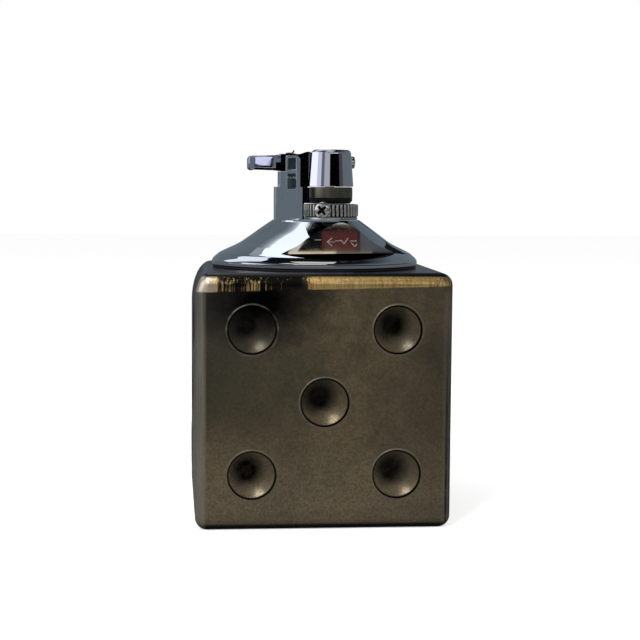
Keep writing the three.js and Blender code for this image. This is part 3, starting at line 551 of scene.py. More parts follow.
def die_body():
    body = worn_cube()
    inner = die_size / 2 - die_wall
    roof = die_high[2] - die_roof
    hollow = rounded_box("hollow", (-inner, -inner, -overrun), (inner, inner, roof), hollow_round, 4, True)
    low, high, wide = pip_middle, die_high[2] + overrun, die_mouth + mouth_chamfer
    mouth = revolved("mouth", [(0, low), (die_mouth, low), (die_mouth, chamfer_foot), (wide, chamfer_top),
                               (wide, high), (0, high)], steps=128)
    pips = [(turn, x, z) for turn, places in pip_sides for x, z in places]
    combined(body, [placed_pip(*pip, True) for pip in pips], "UNION")
    combined(body, [hollow, mouth] + [placed_pip(*pip, False) for pip in pips], "DIFFERENCE")
    return pip_reaches(smoothed(tidy(body), 25.0))


# Antiqued brass: cast brass under a satin olive-brown oxide, clouded every 10 mm or so, with a 0.5 mm grain.
# Polishing has bared a band under the top edge in upright scratches, and the lip of every pip.
oxide_brown = 0x62543D
oxide_warm = 0x6E5B41
oxide_pale = 0x7A6D57
oxide_olive = 0x46402D
oxide_dark = 0x26221A
soot_and_shade_black = 0x060708
oxide_blue = 0x23262B
oxide_green = 0x28291B
edge_grey = 0x716D63
bare_brass = 0xB58C48
bare_pale = 0xF0D08C
bare_silver = 0xD9D2C2
lip_grey = 0x7D7566
band_top_mm = 62.5
band_foot_mm = 59.7
band_tilt = 0.026
foot_band_mm = 5.0
foot_band_tilt = 0.035
soot_middle_mm = (-16.5, 57.0)
soot_width = 1.7
# Each pip's patch of painted shade sits up and left of its middle, where the hollow turns from the light
shade_patch_shift_mm = Vector((-1.3, 0.0, 1.1))


def pip_reaches(body):
    """Stores how far each point lies from the nearest pip's middle and from the middle of its patch of
    painted shade, in mm.
    """
    half = die_size / 2
    drift = random.Random(5)
    middles = []
    for turn, places in pip_sides:
        side = Matrix.Rotation(math.pi / 2 * turn, 3, "Z")
        for x, z in places:
            aside = side @ shade_patch_shift_mm * drift.uniform(0.6, 1.2)
            middles.append((side @ Vector((x * pip_step, -half, pip_middle + z * pip_step)),
                            side @ Vector((0, -1, 0)), aside))
    reach = body.data.attributes.new("pip_reach", "FLOAT", "POINT")
    shade_patch = body.data.attributes.new("pip_shade_patch", "FLOAT", "POINT")
    for i, vertex in enumerate(body.data.vertices):
        spot = vertex.co * 1000
        nearest = dark = 9.0
        for middle, out, aside in middles:
            offset = spot - middle
            depth = offset.dot(out)
            flat = offset - out * depth
            if -3.0 < depth < 1.0 and flat.length < nearest:
                nearest, dark = flat.length, (flat - aside).length
        reach.data[i].value = nearest
        shade_patch.data[i].value = dark
    return body


def object_place(tree):
    """Object coordinates in metres as one socket, and in millimetres as three."""
    place = node(tree, "ShaderNodeTexCoord").outputs["Object"]
    mm = node(tree, "ShaderNodeVectorMath", {0: place, "Scale": 1000.0}, operation="SCALE").outputs[0]
    return place, *node(tree, "ShaderNodeSeparateXYZ", {0: mm}).outputs


def spots(place, size_mm, detail=4.0, roughness=0.6, stretch=(1.0, 1.0, 1.0)):
    """Noise with features of a size in millimetres, drawn out along an axis by its stretch."""
    spread = node(place.id_data, "ShaderNodeMapping",
                  {"Vector": place, "Scale": tuple(1000 / size_mm / s for s in stretch)}).outputs[0]
    return node(place.id_data, "ShaderNodeTexNoise", {"Vector": spread, "Scale": 1.0, "Detail": detail,
                                                      "Roughness": roughness}).outputs["Fac"]


def bumped(height, strength, depth_mm):
    return node(height.id_data, "ShaderNodeBump", {"Height": height, "Strength": strength,
                                                   "Distance": depth_mm / 1000}).outputs[0]


def coated(paint, colour, rough, **others):
    """Ends a material in one shader and gives it back."""
    inputs = {"Base Color": linear(colour) if isinstance(colour, int) else colour, "Roughness": rough}
    for name, value in others.items():
        inputs[name.replace("_", " ")] = value
    shader = node(paint.node_tree, "ShaderNodeBsdfPrincipled", inputs)
    node(paint.node_tree, "ShaderNodeOutputMaterial", {"Surface": shader.outputs[0]})
    return paint


def antiqued_brass():
    paint, tree = blank("antiqued_brass")
    place, x, y, z = object_place(tree)
    reach, shade_patch = [node(tree, "ShaderNodeAttribute", attribute_name=name).outputs["Fac"]
                     for name in ("pip_reach", "pip_shade_patch")]
    cloud = spots(place, 16.0, 5.0, 0.62)
    mottle = spots(place, 3.5, 5.0, 0.7)
    grain = spots(place, 0.5, 4.0, 0.7)
    brushed = spots(place, 0.45, 3.0, 0.7, (1.0, 1.0, 40.0))
    wiped = spots(place, 1.6, 3.0, 0.6, (25.0, 25.0, 1.0))

    # The oxide: clouded and mottled, greener to the left, paler low down, darker to the right, blue up left
    oxide = between(span(cloud, 0.35, 0.65), oxide_olive, oxide_brown)
    oxide = between(span(mottle, 0.48, 0.75, 0.0, 0.45), oxide, oxide_warm)
    oxide = between(times(span(x, 4.0, -22.0), span(z, 12.0, 30.0, 0.0, 0.65)), oxide, oxide_green)
    oxide = between(span(z, 26.0, 8.0, 0.0, 0.4), oxide, oxide_pale)
    oxide = between(times(span(x, 10.0, 26.0), span(z, 8.0, 30.0, 0.2, 0.55), span(z, 56.0, 46.0, 0.35, 1.0)),
                    oxide, oxide_dark)
    oxide = between(times(span(x, 4.0, -28.0), span(z, 30.0, 60.0), span(cloud, 0.3, 0.6, 0.3, 0.7)),
                    oxide, oxide_blue)
    oxide = between(span(grain, 0.4, 0.64, 0.0, 0.55), oxide, oxide_dark)
    foot = folded("SUBTRACT", z, times(x, foot_band_tilt))
    oxide = between(span(foot, foot_band_mm + 0.2, foot_band_mm - 0.3, 0.0, 0.12), oxide, oxide_dark)

    # Black: soot round the upper left pip; painted shade on the lower part of the right upright edges, along
    # the foot, in the groove of every pip and in a patch up and left in every pip's hollow; and black on the
    # top, a painted dark reflection
    aside = folded("DIVIDE", plus(x, -soot_middle_mm[0]), soot_width)
    above = folded("SUBTRACT", z, soot_middle_mm[1])
    soot = folded("SQRT", plus(times(aside, aside), times(above, above)), 0.0)
    soot = plus(soot, times(mottle, 5.0), times(cloud, 6.0))
    soot_above = times(span(x, -3.0, -6.2), span(x, -27.5, -25.0), span(z, 56.5, 60.5), 0.92)
    sooty = most(span(soot, 18.5, 8.0), soot_above)
    edge = folded("MINIMUM", folded("ABSOLUTE", x, 0.0), folded("ABSOLUTE", y, 0.0))
    edge_line = times(span(edge, 29.9, 30.2), span(x, 0.0, 10.0), span(edge, 30.8, 30.5), span(z, 50.0, 30.0),
                      span(mottle, 0.35, 0.6, 0.4, 0.9))
    black = most(span(z, 1.9, 1.1), sooty, edge_line, span(z, band_top_mm - 0.1, band_top_mm + 0.4),
                 times(span(reach, 5.55, 5.8), span(reach, 6.12, 6.0)),
                 times(span(shade_patch, 5.2, 2.0), span(reach, 6.1, 5.9), span(mottle, 0.35, 0.6, 0.75, 1.0)))
    oxide = between(black, oxide, soot_and_shade_black)
    # Lighter grey on the upright edges, strongest on the left: partly wear, partly painted light on the edge
    # facing the lamp
    edge_wear_and_light = times(span(edge, 28.9, 29.8), span(brushed, 0.3, 0.7, 0.3, 0.9),
                      span(x, 10.0, -10.0, 0.3, 1.0), span(z, 59.5, 58.5))
    oxide = between(edge_wear_and_light, oxide, edge_grey)

    # Bare metal: the band under the top edge, whose left part is only scratched, and the lips of the pips
    slant = folded("SUBTRACT", z, times(x, band_tilt))
    band = times(span(slant, band_foot_mm - 0.2, band_foot_mm + 0.2),
                 span(z, band_top_mm + 0.2, band_top_mm - 0.1))
    other_sides, front = span(x, -20.0, 30.0, -0.08, 0.4), span(x, -5.8, -3.0, -0.08, 0.5)
    start = node(tree, "ShaderNodeMix", {"Factor": span(y, -28.5, -29.5), "A": other_sides,
                                         "B": front}).outputs[0]
    worn = plus(start, times(span(x, -26.2, -27.5, 0.0, 0.75), span(y, -29.2, -30.2)),
                span(x, 25.0, 28.5, 0.0, -0.3), cloud, times(brushed, 0.9))
    lip = times(span(reach, 6.08, 6.2), span(reach, 6.62, 6.45),
                span(plus(mottle, wiped), 0.75, 1.15, 0.05, 0.7), span(x, -30.0, 5.0, 0.55, 1.0))
    rubbed = most(times(span(worn, 0.98, 1.24), band), lip)
    metal = between(span(brushed, 0.35, 0.68), bare_brass, bare_pale)
    metal = between(span(wiped, 0.35, 0.6, 0.3, 0.0), metal, oxide_brown)
    metal = between(span(x, -26.0, -28.5, 0.0, 0.7), metal, bare_silver)
    metal = between(span(reach, 7.0, 6.8), metal, lip_grey)

    rough = plus(span(grain, 0.3, 0.7, 0.36, 0.5), span(reach, 5.9, 5.0, 0.0, -0.1), times(rubbed, -0.1),
                 span(z, 62.2, 63.0, 0.0, -0.2), times(sooty, 0.1))
    matt = times(black, span(z, band_top_mm + 0.4, band_top_mm))
    return coated(paint, between(rubbed, oxide, metal), rough,
                  Normal=bumped(plus(grain, times(band, brushed, 1.5)), 0.22, 0.06),
                  Metallic=span(most(rubbed, matt), 0.0, 1.0, 0.6, 1.0))


brass_cube = dressed(die_body(), antiqued_brass(), "die", "antique_brass", "body_shell")
glint.light_linking.receiver_collection = bpy.data.collections.new("brass_only")
glint.light_linking.receiver_collection.objects.link(brass_cube)


# Skirt casting: one zinc die casting, chromed, that carries the burner and the wheel fork.
# It flares from a long platform to a round rim; a flat facet faces the front, and a spigot grips the die.
rim_radius = 26.9
rim_foot = 64.15
rim_top = 65.1
rim_round = 0.15
platform_top = 75.65
platform_length = 11.4
platform_width = 7.4
platform_shift = 0.35
skirt_slope = ((0.0, 0.0), (0.03, 0.008), (0.07, 0.028), (0.12, 0.065), (0.2, 0.135), (0.42, 0.44),
               (0.6, 0.62), (0.81, 0.815), (1.0, 1.0))
skirt_rows = 40
facet_turn = math.radians(14.0)
facet_top_reach = 8.7
facet_foot_reach = 18.0
facet_foot = 67.65
facet_beyond = 30.0
facet_over = 3.0
ledge_drop = 2.0
burner_x = 4.25
burner_bore = 3.55
boss_radius = 5.0
boss_foot, boss_top = 70.5, 74.0
hollow_radius = 19.6
hollow_top_radius = 8.0
hollow_top = rim_foot + 7.4
bore_foot, bore_top, tube_bore_top = 60.0, 80.0, 86.5
spigot_radius = 22.4
spigot_foot = 58.15
spigot_wall = 1.2
tube_bore = 1.6
post_x = -6.4
post_left = post_x - 4.1
post_right = post_x + 2.8
post_deep = 4.5
post_root = platform_top - overrun
screen_top = 84.1
fork_floor = 84.25
fork_top = 92.35
fork_gap = 3.3
lever_gap = 3.9
wing_sheet = 0.5
window_half = 1.1
clear_y = 9.0
strip_foot = 88.7
strip_top = fork_top - 0.5
strip_fit = 0.05
strip_sheet = 0.4
rib_half = 0.2
axle_height = 89.95


def drawn_along_y(name, outline, y_low, y_high):
    """An outline of (x, z) drawn out along y."""
    return tidy(lofted(name, [[(x, y, z) for x, z in outline] for y in (y_low, y_high)]))


def box(name, low, high):
    return rounded_box(name, low, high, 0.0, 1)


def round_bar(name, radius, low, high, x=0.0, steps=64):
    return revolved(name, [(0.0, low), (radius, low), (radius, high), (0.0, high)], (x, 0.0), steps)


def eased(table, share):
    """A smooth curve through a table of (height share, reach share)."""
    spot = next(i for i in range(len(table) - 1) if share <= table[i + 1][0] + 1e-9)
    before = table[max(spot - 1, 0)]
    start, end = table[spot], table[spot + 1]
    after = table[min(spot + 2, len(table) - 1)]
    t = (share - start[0]) / (end[0] - start[0])
    near = (end[1] - before[1]) / (end[0] - before[0]) * (end[0] - start[0])
    far = (after[1] - start[1]) / (after[0] - start[0]) * (end[0] - start[0])
    return ((2 * t ** 3 - 3 * t ** 2 + 1) * start[1] + (t ** 3 - 2 * t ** 2 + t) * near
            + (3 * t ** 2 - 2 * t ** 3) * end[1] + (t ** 3 - t ** 2) * far)


def skirt_size(share):
    """Half the skirt's length and width and its shift, at a share of its height."""
    reach = eased(skirt_slope, share)
    return (rim_radius + (platform_length - rim_radius) * reach,
            rim_radius + (platform_width - rim_radius) * reach, platform_shift * reach)


def skirt_ring(length, width, height, shift, steps=192):
    ring = []
    for i in range(steps):
        angle = 2 * math.pi * (i + 0.5) / steps
        straight = math.copysign(length - width, math.cos(angle))
        ring.append((shift + straight + math.cos(angle) * width, math.sin(angle) * width, height))
    return ring


def skirt_cone():
    rings = [skirt_ring(radius, radius, height, 0.0) for radius, height in
             ((rim_radius - rim_round, rim_foot), (rim_radius, rim_foot + rim_round),
              (rim_radius, rim_top - rim_round))]
    for i in range(skirt_rows + 1):
        share = (i / skirt_rows) ** 1.4
        length, width, shift = skirt_size(share)
        inset = 0.0 if i else rim_round
        height = rim_top + (platform_top - rim_top) * share
        rings.append(skirt_ring(length - inset, width - inset, height, shift))
    return lofted("skirt_casting", rings)


def facet_wedge():
    slope = (facet_foot_reach - facet_top_reach) / (platform_top - facet_foot)
    outline = [(facet_top_reach - slope * facet_over, platform_top + facet_over),
               (facet_foot_reach, facet_foot), (facet_beyond, facet_foot - ledge_drop),
               (facet_beyond, platform_top + facet_over)]
    wedge = drawn_along_y("facet", outline, -facet_beyond, facet_beyond)
    wedge.data.transform(Matrix.Rotation(-math.pi / 2 + facet_turn, 4, "Z"))
    return wedge


def facet_normals():
    """Which way the facet and the ledge at its foot face."""
    slope = Vector((platform_top - facet_foot, 0.0, facet_foot_reach - facet_top_reach)).normalized()
    ledge = Vector((ledge_drop, 0.0, facet_beyond - facet_foot_reach)).normalized()
    turn = Matrix.Rotation(-math.pi / 2 + facet_turn, 3, "Z")
    return [turn @ slope, turn @ ledge]


def crisp_facet(work):
    """Marks the rims of the facet and of its ledge as sharp edges."""
    normals = facet_normals()
    for edge in work.edges:
        if len(edge.link_faces) == 2:
            flat = [any(face.normal.dot(n) > 0.9999 for n in normals) for face in edge.link_faces]
            if flat[0] != flat[1] or (all(flat) and edge.calc_face_angle(0.0) > math.radians(4)):
                edge.smooth = False


def skirt_casting():
    casting = combined(skirt_cone(), [facet_wedge()], "DIFFERENCE")
    hollow = revolved("hollow", [(0.0, bore_foot), (hollow_radius, bore_foot), (hollow_radius, rim_foot),
                                 (hollow_top_radius, hollow_top), (0.0, hollow_top)])
    combined(casting, [hollow], "DIFFERENCE")
    inside = spigot_radius - spigot_wall
    spigot = revolved("spigot", [(inside, spigot_foot), (spigot_radius - 0.2, spigot_foot),
                                 (spigot_radius, spigot_foot + 0.2), (spigot_radius, rim_top),
                                 (inside, rim_top)], steps=128)
    combined(casting, [spigot, round_bar("boss", boss_radius, boss_foot, boss_top, burner_x)], "UNION")
    combined(casting, [round_bar("bore", burner_bore, bore_foot, bore_top, burner_x),
                       round_bar("tube_bore", tube_bore, bore_foot, tube_bore_top, post_x)], "DIFFERENCE")
    tidy(casting)
    casting.data.shade_smooth()
    casting.data.set_sharp_from_angle(angle=math.radians(30.0))
    return levelled(reworked(casting, crisp_facet))


def chromed(name, tint, haze):
    """A bright or dull metal that mirrors the room, with a film of handling haze in clouds of 8 mm."""
    paint, tree = blank(name)
    film = spots(object_place(tree)[0], 8.333, 5.0, 0.65)
    return coated(paint, tint, span(film, 0.35, 0.7, haze * 0.5, haze * 1.5), Metallic=1.0)


# Bright chrome over nickel on the casting, and a near-black metal that paints shade where parts lie in shade
chrome_paint = chromed("bright_chrome", 0xC8CDD2, 0.04)
shade_black_paint = chromed("painted_shade_black", 0x0D0D0E, 0.3)
dressed(skirt_casting(), chrome_paint, "insert", "chrome", "skirt_casting")


# Skirt reflection cards: painted reflection, thin grey glowing cards just off the skirt that only mirrors
# see, which paint a soft grey edge onto the left of the window the skirt mirrors
reflection_edge = ((75.75, -4.0), (75.3, -4.5), (74.6, -5.1), (73.6, -6.2), (73.1, -7.0), (72.4, -8.4),
              (71.6, -9.7), (70.9, -10.9), (70.0, -12.2), (69.2, -13.2))
reflection_bands = ((0.0, 0.5, (0.85, 0.88, 0.95)), (0.5, 1.1, (0.55, 0.58, 0.64)), (1.1, 1.8, (0.36, 0.39, 0.43)),
               (1.8, 2.6, (0.24, 0.27, 0.3)), (2.6, 6.0, (0.165, 0.2, 0.225)))
reflection_off = 0.25
reflection_lift = 0.3
reflection_steps = 6


def skirt_front(x, z):
    """How far forward the skirt reaches at a place."""
    length, width, shift = skirt_size(min((z - rim_top) / (platform_top - rim_top), 1.0))
    aside = max(abs(x - shift) - (length - width), 0.0)
    return -math.sqrt(max(width ** 2 - aside ** 2, 0.0))


for near, far, tone in reflection_bands:
    corners = []
    for z, edge in reflection_edge:
        for i in range(reflection_steps + 1):
            x = edge - near - (far - near) * i / reflection_steps
            corners.append((x / 1000, (skirt_front(x, z) - reflection_off) / 1000, (z + reflection_lift) / 1000))
    row = reflection_steps + 1
    faces = [(i, i + 1, i + row + 1, i + row) for i in range(len(corners) - row) if i % row < reflection_steps]
    card("skirt_shade", corners, tone, faces)


# Wheel post: the part of the casting that stands on the platform, forked for the wheel and the lever.
# Its right side behind the burner is painted black as shade, and a thin wing closes it at the back.
def wheel_post():
    post = box("post", (post_left, -post_deep, post_root), (post_right, post_deep, fork_floor))
    parts = [box("fork", (post_x - 3.1, -post_deep, post_root + 1), (post_x + 2.2, post_deep, fork_top))]
    for name, out, near, foot, top in (
            ("screen", 0.35, 0.3, post_root, screen_top),
            ("shade", 1.8, 1.5, platform_top + 4.8, screen_top),
            ("wing", 3.6, post_deep - wing_sheet, platform_top + 4.3, screen_top),
            ("fin", 1.2, post_deep - wing_sheet, post_root, screen_top),
            ("tail", 2.1, post_deep - wing_sheet, fork_floor - 1, fork_floor + 1.1),
            ("heel", 1.9, post_deep - wing_sheet, post_root, platform_top + 0.75)):
        parts.append(box(name, (post_right - 1, near, foot), (post_right + out, post_deep, top)))
    combined(post, parts, "UNION")
    above, past = fork_top + overrun, post_left - overrun
    combined(post, [
        box("slot", (past, -fork_gap, fork_floor), (post_right + 3, fork_gap, above)),
        box("shoulder", (past, -clear_y, platform_top + 12.6), (post_x - 1.5, clear_y, above)),
        drawn_along_y("nose", [(post_x + 4.2, above), (post_x - 0.6, above), (post_x + 4.2, fork_top - 2.8)],
                      -clear_y, clear_y),
        box("window", (post_x - window_half, -clear_y, 83.75), (post_x + window_half, 0.0, 87.75)),
        box("strip", (post_x - window_half, -clear_y, strip_foot),
            (post_x + window_half, -post_deep + 0.6, strip_top)),
        box("relief", (past, -lever_gap, platform_top + 9.0), (post_x - 2.1, lever_gap, above)),
    ], "DIFFERENCE")
    bevelled(post, 0.22, 3)
    ribs = []
    for x in (post_x - 1.35, post_x + 1.35):
        ribs.append(rounded_box("rib", (x - rib_half, -post_deep - 0.3, platform_top + 5.3),
                                (x + rib_half, -3.6, fork_top - 0.25), 0.08, 2))
    combined(post, ribs, "UNION")
    combined(post, [round_bar("tube_bore", tube_bore, bore_foot, tube_bore_top, post_x)], "DIFFERENCE")
    return smoothed(tidy(post), 30.0)


def painted(piece, paints, chosen):
    """Gives a piece two materials; the faces whose middle and normal are chosen take the second."""
    for paint in paints:
        piece.data.materials.append(paint)
    for face in piece.data.polygons:
        face.material_index = int(chosen(*(face.center * 1000), face.normal))
    return piece


# Faces on the post's right side behind the burner, where the gap lies in shade, take the black painted shade
def behind_burner(x, y, z, normal):
    return post_right + 0.01 < x < 0.2 and y > 0.25 and platform_top < z < fork_floor + 1.2


fork_post = painted(wheel_post(), (chrome_paint, shade_black_paint), behind_burner)
dressed(fork_post, None, "insert", "chrome", mirrored=False)


# Strip plate: a small dark plate let into the front of the fork, over the end of the axle
def strip_plate():
    half, front = window_half - strip_fit, -post_deep + 0.12
    plate = rounded_box("strip_plate", (post_x - half, front, strip_foot + strip_fit),
                        (post_x + half, front + strip_sheet, strip_top - strip_fit), 0.1, 2)
    return smoothed(plate, 50.0)


# Blued steel, darker and duller than the chrome round it
plate_paint = chromed("blued_steel", 0x56606B, 0.18)
dressed(strip_plate(), plate_paint, "insert", "chrome", mirrored=False)


# Thumb lever: one pressed and chromed sheet, rolled at the thumb's end and narrowed into two cheeks.
# It turns on the wheel axle, and its arm carries the burner cap.
lever_sheet = 0.45
pad_half = 4.6
cheek_half = 3.1
cheek_lean = 0.08
cheek_foot = -1.6
axle_hole = 0.9
roll_radius = 0.9
roll_x = -10.3
roll_ends = ((0.0, 1.4), (math.pi, -0.55))
wrap_rows = ((84.5, 5.85), (93.2, 5.2), (93.45, 5.08))
wrap_sheet = 0.4
wrap_meet = math.radians(17.0)
wrap_spread = 1.6
wrap_clear = 0.1
wrap_start_deg = 47.0
wrap_reach_deg = 32.0
wrap_steps = 14
curl_steps = 6
roll_steps = 12
# Each row of the pad: its place from the axle, half its width, the height of its top, how deep its sides hang
pad_rows = ((-10.6, 4.6, 2.3, 2.65), (-9.9, 4.6, 2.4, 2.9), (-7.0, 4.6, 2.45, 3.05),
            (-5.4, 4.55, 2.45, 3.1), (-4.7, 4.25, 2.45, 3.1), (-4.1, 3.75, 2.5, 3.2),
            (-3.6, 3.35, 2.6, 3.35), (-3.2, 3.13, 2.75, 3.55), (-2.8, 3.1, 2.85, 3.75))


def pad_skin(half, top, drop, depth):
    """Half a section of the pad, from the foot of its side to its middle, drawn in by a depth."""
    flare = 0.3 * max(0.0, (half - cheek_half) / 1.5)
    skin = []
    for y, z, radius, start in ((-half + 0.75, top - drop, 0.75 - depth, 1.5),
                                (-half + 0.55 + flare, top - 0.55, 0.55 - depth, 1.0)):
        for i in range(curl_steps + 1):
            angle = math.pi * (start - i / curl_steps / 2)
            skin.append((y + math.cos(angle) * radius, z + math.sin(angle) * radius))
    next_curl = curl_steps + 1
    low, high = skin[curl_steps], skin[next_curl]
    skin[next_curl:next_curl] = [tuple(a + (b - a) * i / curl_steps for a, b in zip(low, high))
                                 for i in range(1, curl_steps)]
    return skin + [(-y, z) for y, z in reversed(skin)]


def lever_pad():
    rings = []
    for x, half, top, drop in pad_rows:
        outside, inside = [pad_skin(half, top, drop, depth) for depth in (0.0, lever_sheet)]
        rings.append([(post_x + x, y, axle_height + z) for y, z in outside + list(reversed(inside))])
    return tidy(lofted("thumb_lever", rings))


def sheet_side(name, outline, y_near, sheet=lever_sheet):
    """A flat cheek of sheet, its outline given from the axle."""
    far = y_near - math.copysign(sheet, y_near)
    return drawn_along_y(name, [(post_x + x, axle_height + z) for x, z in outline],
                         min(y_near, far), max(y_near, far))


def cap_arm():
    """The cheeks on the axle and the arm to the cap; the cheeks lean in a little towards the top."""
    outline = [(-3.1, cheek_foot), (1.6, cheek_foot), (2.4, -5.6), (4.5, -5.6), (4.5, 3.55), (2.4, 2.85),
               (-3.1, 2.85)]
    arm, other = [sheet_side("cap_arm", outline, side * cheek_half) for side in (-1, 1)]
    roof = sheet_side("roof", [(3.65, 2.7), (5.4, 3.1), (5.4, 3.55), (3.65, 3.2)], cheek_half, 2 * cheek_half)
    front = sheet_side("front", [(4.4, -5.6), (4.85, -5.6), (5.4, 3.55), (4.95, 3.4)], cheek_half,
                       2 * cheek_half)
    combined(arm, [other, roof, front], "UNION")
    hole = round_bar("hole", axle_hole, -6.0, 6.0, steps=48)
    hole.data.transform(on_axle)
    combined(arm, [hole], "DIFFERENCE")
    for vertex in arm.data.vertices:
        up = vertex.co.z - (axle_height + cheek_foot) / 1000
        vertex.co.y -= math.copysign(max(up, 0.0) * cheek_lean, vertex.co.y)
    return combined(arm, [cap_wrap(-1), cap_wrap(1)], "UNION")


def cap_wrap(side):
    """The end of the arm on one side, curved to lie along the cap."""
    rings = []
    for z, radius in wrap_rows:
        wide = radius * wrap_spread
        x = burner_x - math.sin(wrap_meet) * (radius + wrap_clear - wide)
        y = -math.cos(wrap_meet) * (radius + wrap_clear - wide)
        ring = []
        steps = range(wrap_steps + 1)
        for reach, order in ((wide, steps), (wide - wrap_sheet, reversed(steps))):
            for i in order:
                angle = math.radians(wrap_start_deg - wrap_reach_deg * i / wrap_steps)
                ring.append((x - math.sin(angle) * reach, -side * (y - math.cos(angle) * reach), z))
        rings.append(ring)
    return tidy(lofted("cap_wrap", rings))


def thumb_lever():
    lever = lever_pad()
    roll = []
    for start, z in roll_ends:
        for i in range(roll_steps + 1):
            angle = start + math.pi * i / roll_steps
            roll.append((roll_x + math.cos(angle) * roll_radius, z + math.sin(angle) * roll_radius))
    rolled = sheet_side("roll", roll, pad_half, 2 * pad_half)
    bevelled(rolled, 0.3, 4, 50.0)
    combined(lever, [rolled, cap_arm()], "UNION")
    bevelled(tidy(lever), 0.1, 3, 40.0)
    return smoothed(lever, 35.0)


def lever_dark(x, y, z, normal):
    """What the lever hides in its own shade: its underside, its hollow, and the gap beside the cap."""
    x, z = x - post_x, z - axle_height
    hollow = x > -9.0 and abs(y) < 2.6 and z < 1.8
    shaded = -4.2 < x < -1.5 and z < 0.6
    arm = x > 1.2 and (x < 4.2 or abs(y) < 2.35)
    return normal.z < -0.2 or hollow or shaded or arm


on_axle = Matrix.Translation((post_x / 1000, 0, axle_height / 1000)) @ Matrix.Rotation(math.pi / 2, 4, "X")
# Chrome on pressed sheet, a little bluer and hazier than on the casting
lever_paint = chromed("lever_chrome", 0xC9CAD6, 0.05)
# Faces that the lever hides in its own shade take the black painted shade
chrome_lever = painted(thumb_lever(), (lever_paint, shade_black_paint), lever_dark)
dressed(chrome_lever, None, "lever", "chrome", "thumb_lever", mirrored=False)


# Burner cap: a drawn and chromed chimney that snuffs the flame, closed above, held to the arm by a rivet
cap_base = 84.4
cap_crown = 94.0
cap_foot_radius = 5.85
cap_crown_radius = 5.15
cap_roll = 1.1
cap_wall = 0.6
cap_plug = 88.3
cap_plug_radius = 1.2
crown_steps = 10


def burner_cap():
    profile = [(cap_foot_radius - cap_wall, cap_base), (cap_foot_radius - 0.15, cap_base),
               (cap_foot_radius, cap_base + 0.15)]
    taper = (cap_crown_radius - cap_foot_radius) / (cap_crown - cap_base)
    shoulder = cap_foot_radius + taper * (cap_crown - cap_roll - cap_base)
    for i in range(crown_steps + 1):
        angle = math.pi / 2 * i / crown_steps
        profile.append((shoulder - cap_roll + math.cos(angle) * cap_roll,
                        cap_crown - cap_roll + math.sin(angle) * cap_roll))
    profile += [(1.5, cap_crown - 0.02), (0.0, cap_crown), (0.0, cap_plug), (cap_plug_radius, cap_plug),
                (cap_plug_radius, cap_crown - cap_wall), (cap_crown_radius - 0.9, cap_crown - cap_wall),
                (cap_foot_radius - cap_wall, cap_base)]
    return smoothed(revolved("burner_cap", profile, (burner_x, 0.0), 128), 40.0)


dressed(burner_cap(), chrome_paint, "lever", "chrome", "burner_cap", mirrored=False)


# Cap rivet: a domed chromed head on the far side of the cap, its shank through the arm
rivet_low, rivet_high = box_mm("cap_rivet")
rivet_seat = (rivet_high[0] - 0.75, (rivet_low[1] + rivet_high[1]) / 2, (rivet_low[2] + rivet_high[2]) / 2)


def cap_rivet():
    dome = [(0.0, -0.3), (1.6, -0.3), (1.6, 0.0), (1.55, 0.25), (1.4, 0.45), (1.0, 0.57), (0.5, 0.6),
            (0.0, 0.6)]
    rivet = revolved("cap_rivet", dome, steps=48)
    combined(rivet, [round_bar("shank", 0.9, -0.55, 0.1, steps=32)], "UNION")
    rivet.data.transform(Matrix.Translation(Vector(rivet_seat) / 1000) @ Matrix.Rotation(math.pi / 2, 4, "Y"))
    return smoothed(rivet, 40.0)


dressed(cap_rivet(), chrome_paint, "lever", "chrome", "cap_rivet", mirrored=False)


# Burner cup: a turned brass cup, gone dark with heat, that shields the nozzle; it screws down on the neck
def on_burner(name, profile, steps=128):
    """A turned piece round the burner."""
    return smoothed(revolved(name, profile, (burner_x, 0.0), steps), 40.0)


def heat_browned():
    """Brass browned by heat: bronze with blue-black drifts of 4 mm, semi-gloss."""
    paint, tree = blank("heat_browned_brass")
    drift = spots(object_place(tree)[0], 3.846, 4.0, 0.5)
    return coated(paint, between(drift, 0x565247, 0x736E60), span(drift, 0.0, 1.0, 0.2, 0.38), Metallic=1.0)


cup_profile = ((1.2, 81.5), (5.58, 81.5), (5.65, 81.57), (5.65, 83.95), (5.5, 84.25), (4.75, 84.25),
               (4.75, 82.5), (1.2, 82.5))
cup = on_burner("burner_cup", cup_profile)
dressed(cup, heat_browned(), "insert", "dark_brass", "burner_cup", mirrored=False)


# Burner neck: a black moulded sleeve under the cup, waisted, that keeps the heat off the ring
def moulded(name, tint, gloss, grain_mm=0.4, shine=0.5):
    """Moulded plastic or rubber: one colour, a faint grain, a soft sheen."""
    paint, tree = blank(name)
    grain = spots(object_place(tree)[0], grain_mm, 3.0, 0.5)
    return coated(paint, tint, span(grain, 0.0, 1.0, gloss - 0.08, gloss + 0.08),
                  Normal=bumped(grain, 0.1, 0.03), Specular_IOR_Level=shine)


# Black phenolic moulding with a 0.4 mm grain
black_paint = moulded("black_moulding", 0x0A0A0B, 0.5, 0.4, 0.15)
neck_profile = ((1.2, 80.0), (4.95, 80.0), (5.1, 80.1), (5.35, 80.45), (5.6, 80.75), (5.6, 81.52),
                (1.2, 81.52))
neck = on_burner("burner_neck", neck_profile, 96)
dressed(neck, black_paint, "insert", "black_plastic", "burner_neck", mirrored=False)


# Flame ring: a nickelled ring with coarse upright teeth, turned by hand to set the flame.
# It sits on a plain collar and is held by a screw in its side.
ring_foot, ring_top = 76.75, 79.85
ring_middle = (ring_foot + ring_top) / 2
ring_radius = 6.7
ring_bore = 3.6
ring_chamfer = 0.1
collar_profile = ((5.3, 75.8), (6.9, 75.8), (7.0, 75.9), (7.0, 76.3), (6.85, 76.45), (6.85, 77.05),
                  (5.3, 77.05))
ring_teeth = 40
tooth_reach = 6.76
burner_place = Matrix.Translation((burner_x / 1000, 0.0, 0.0))


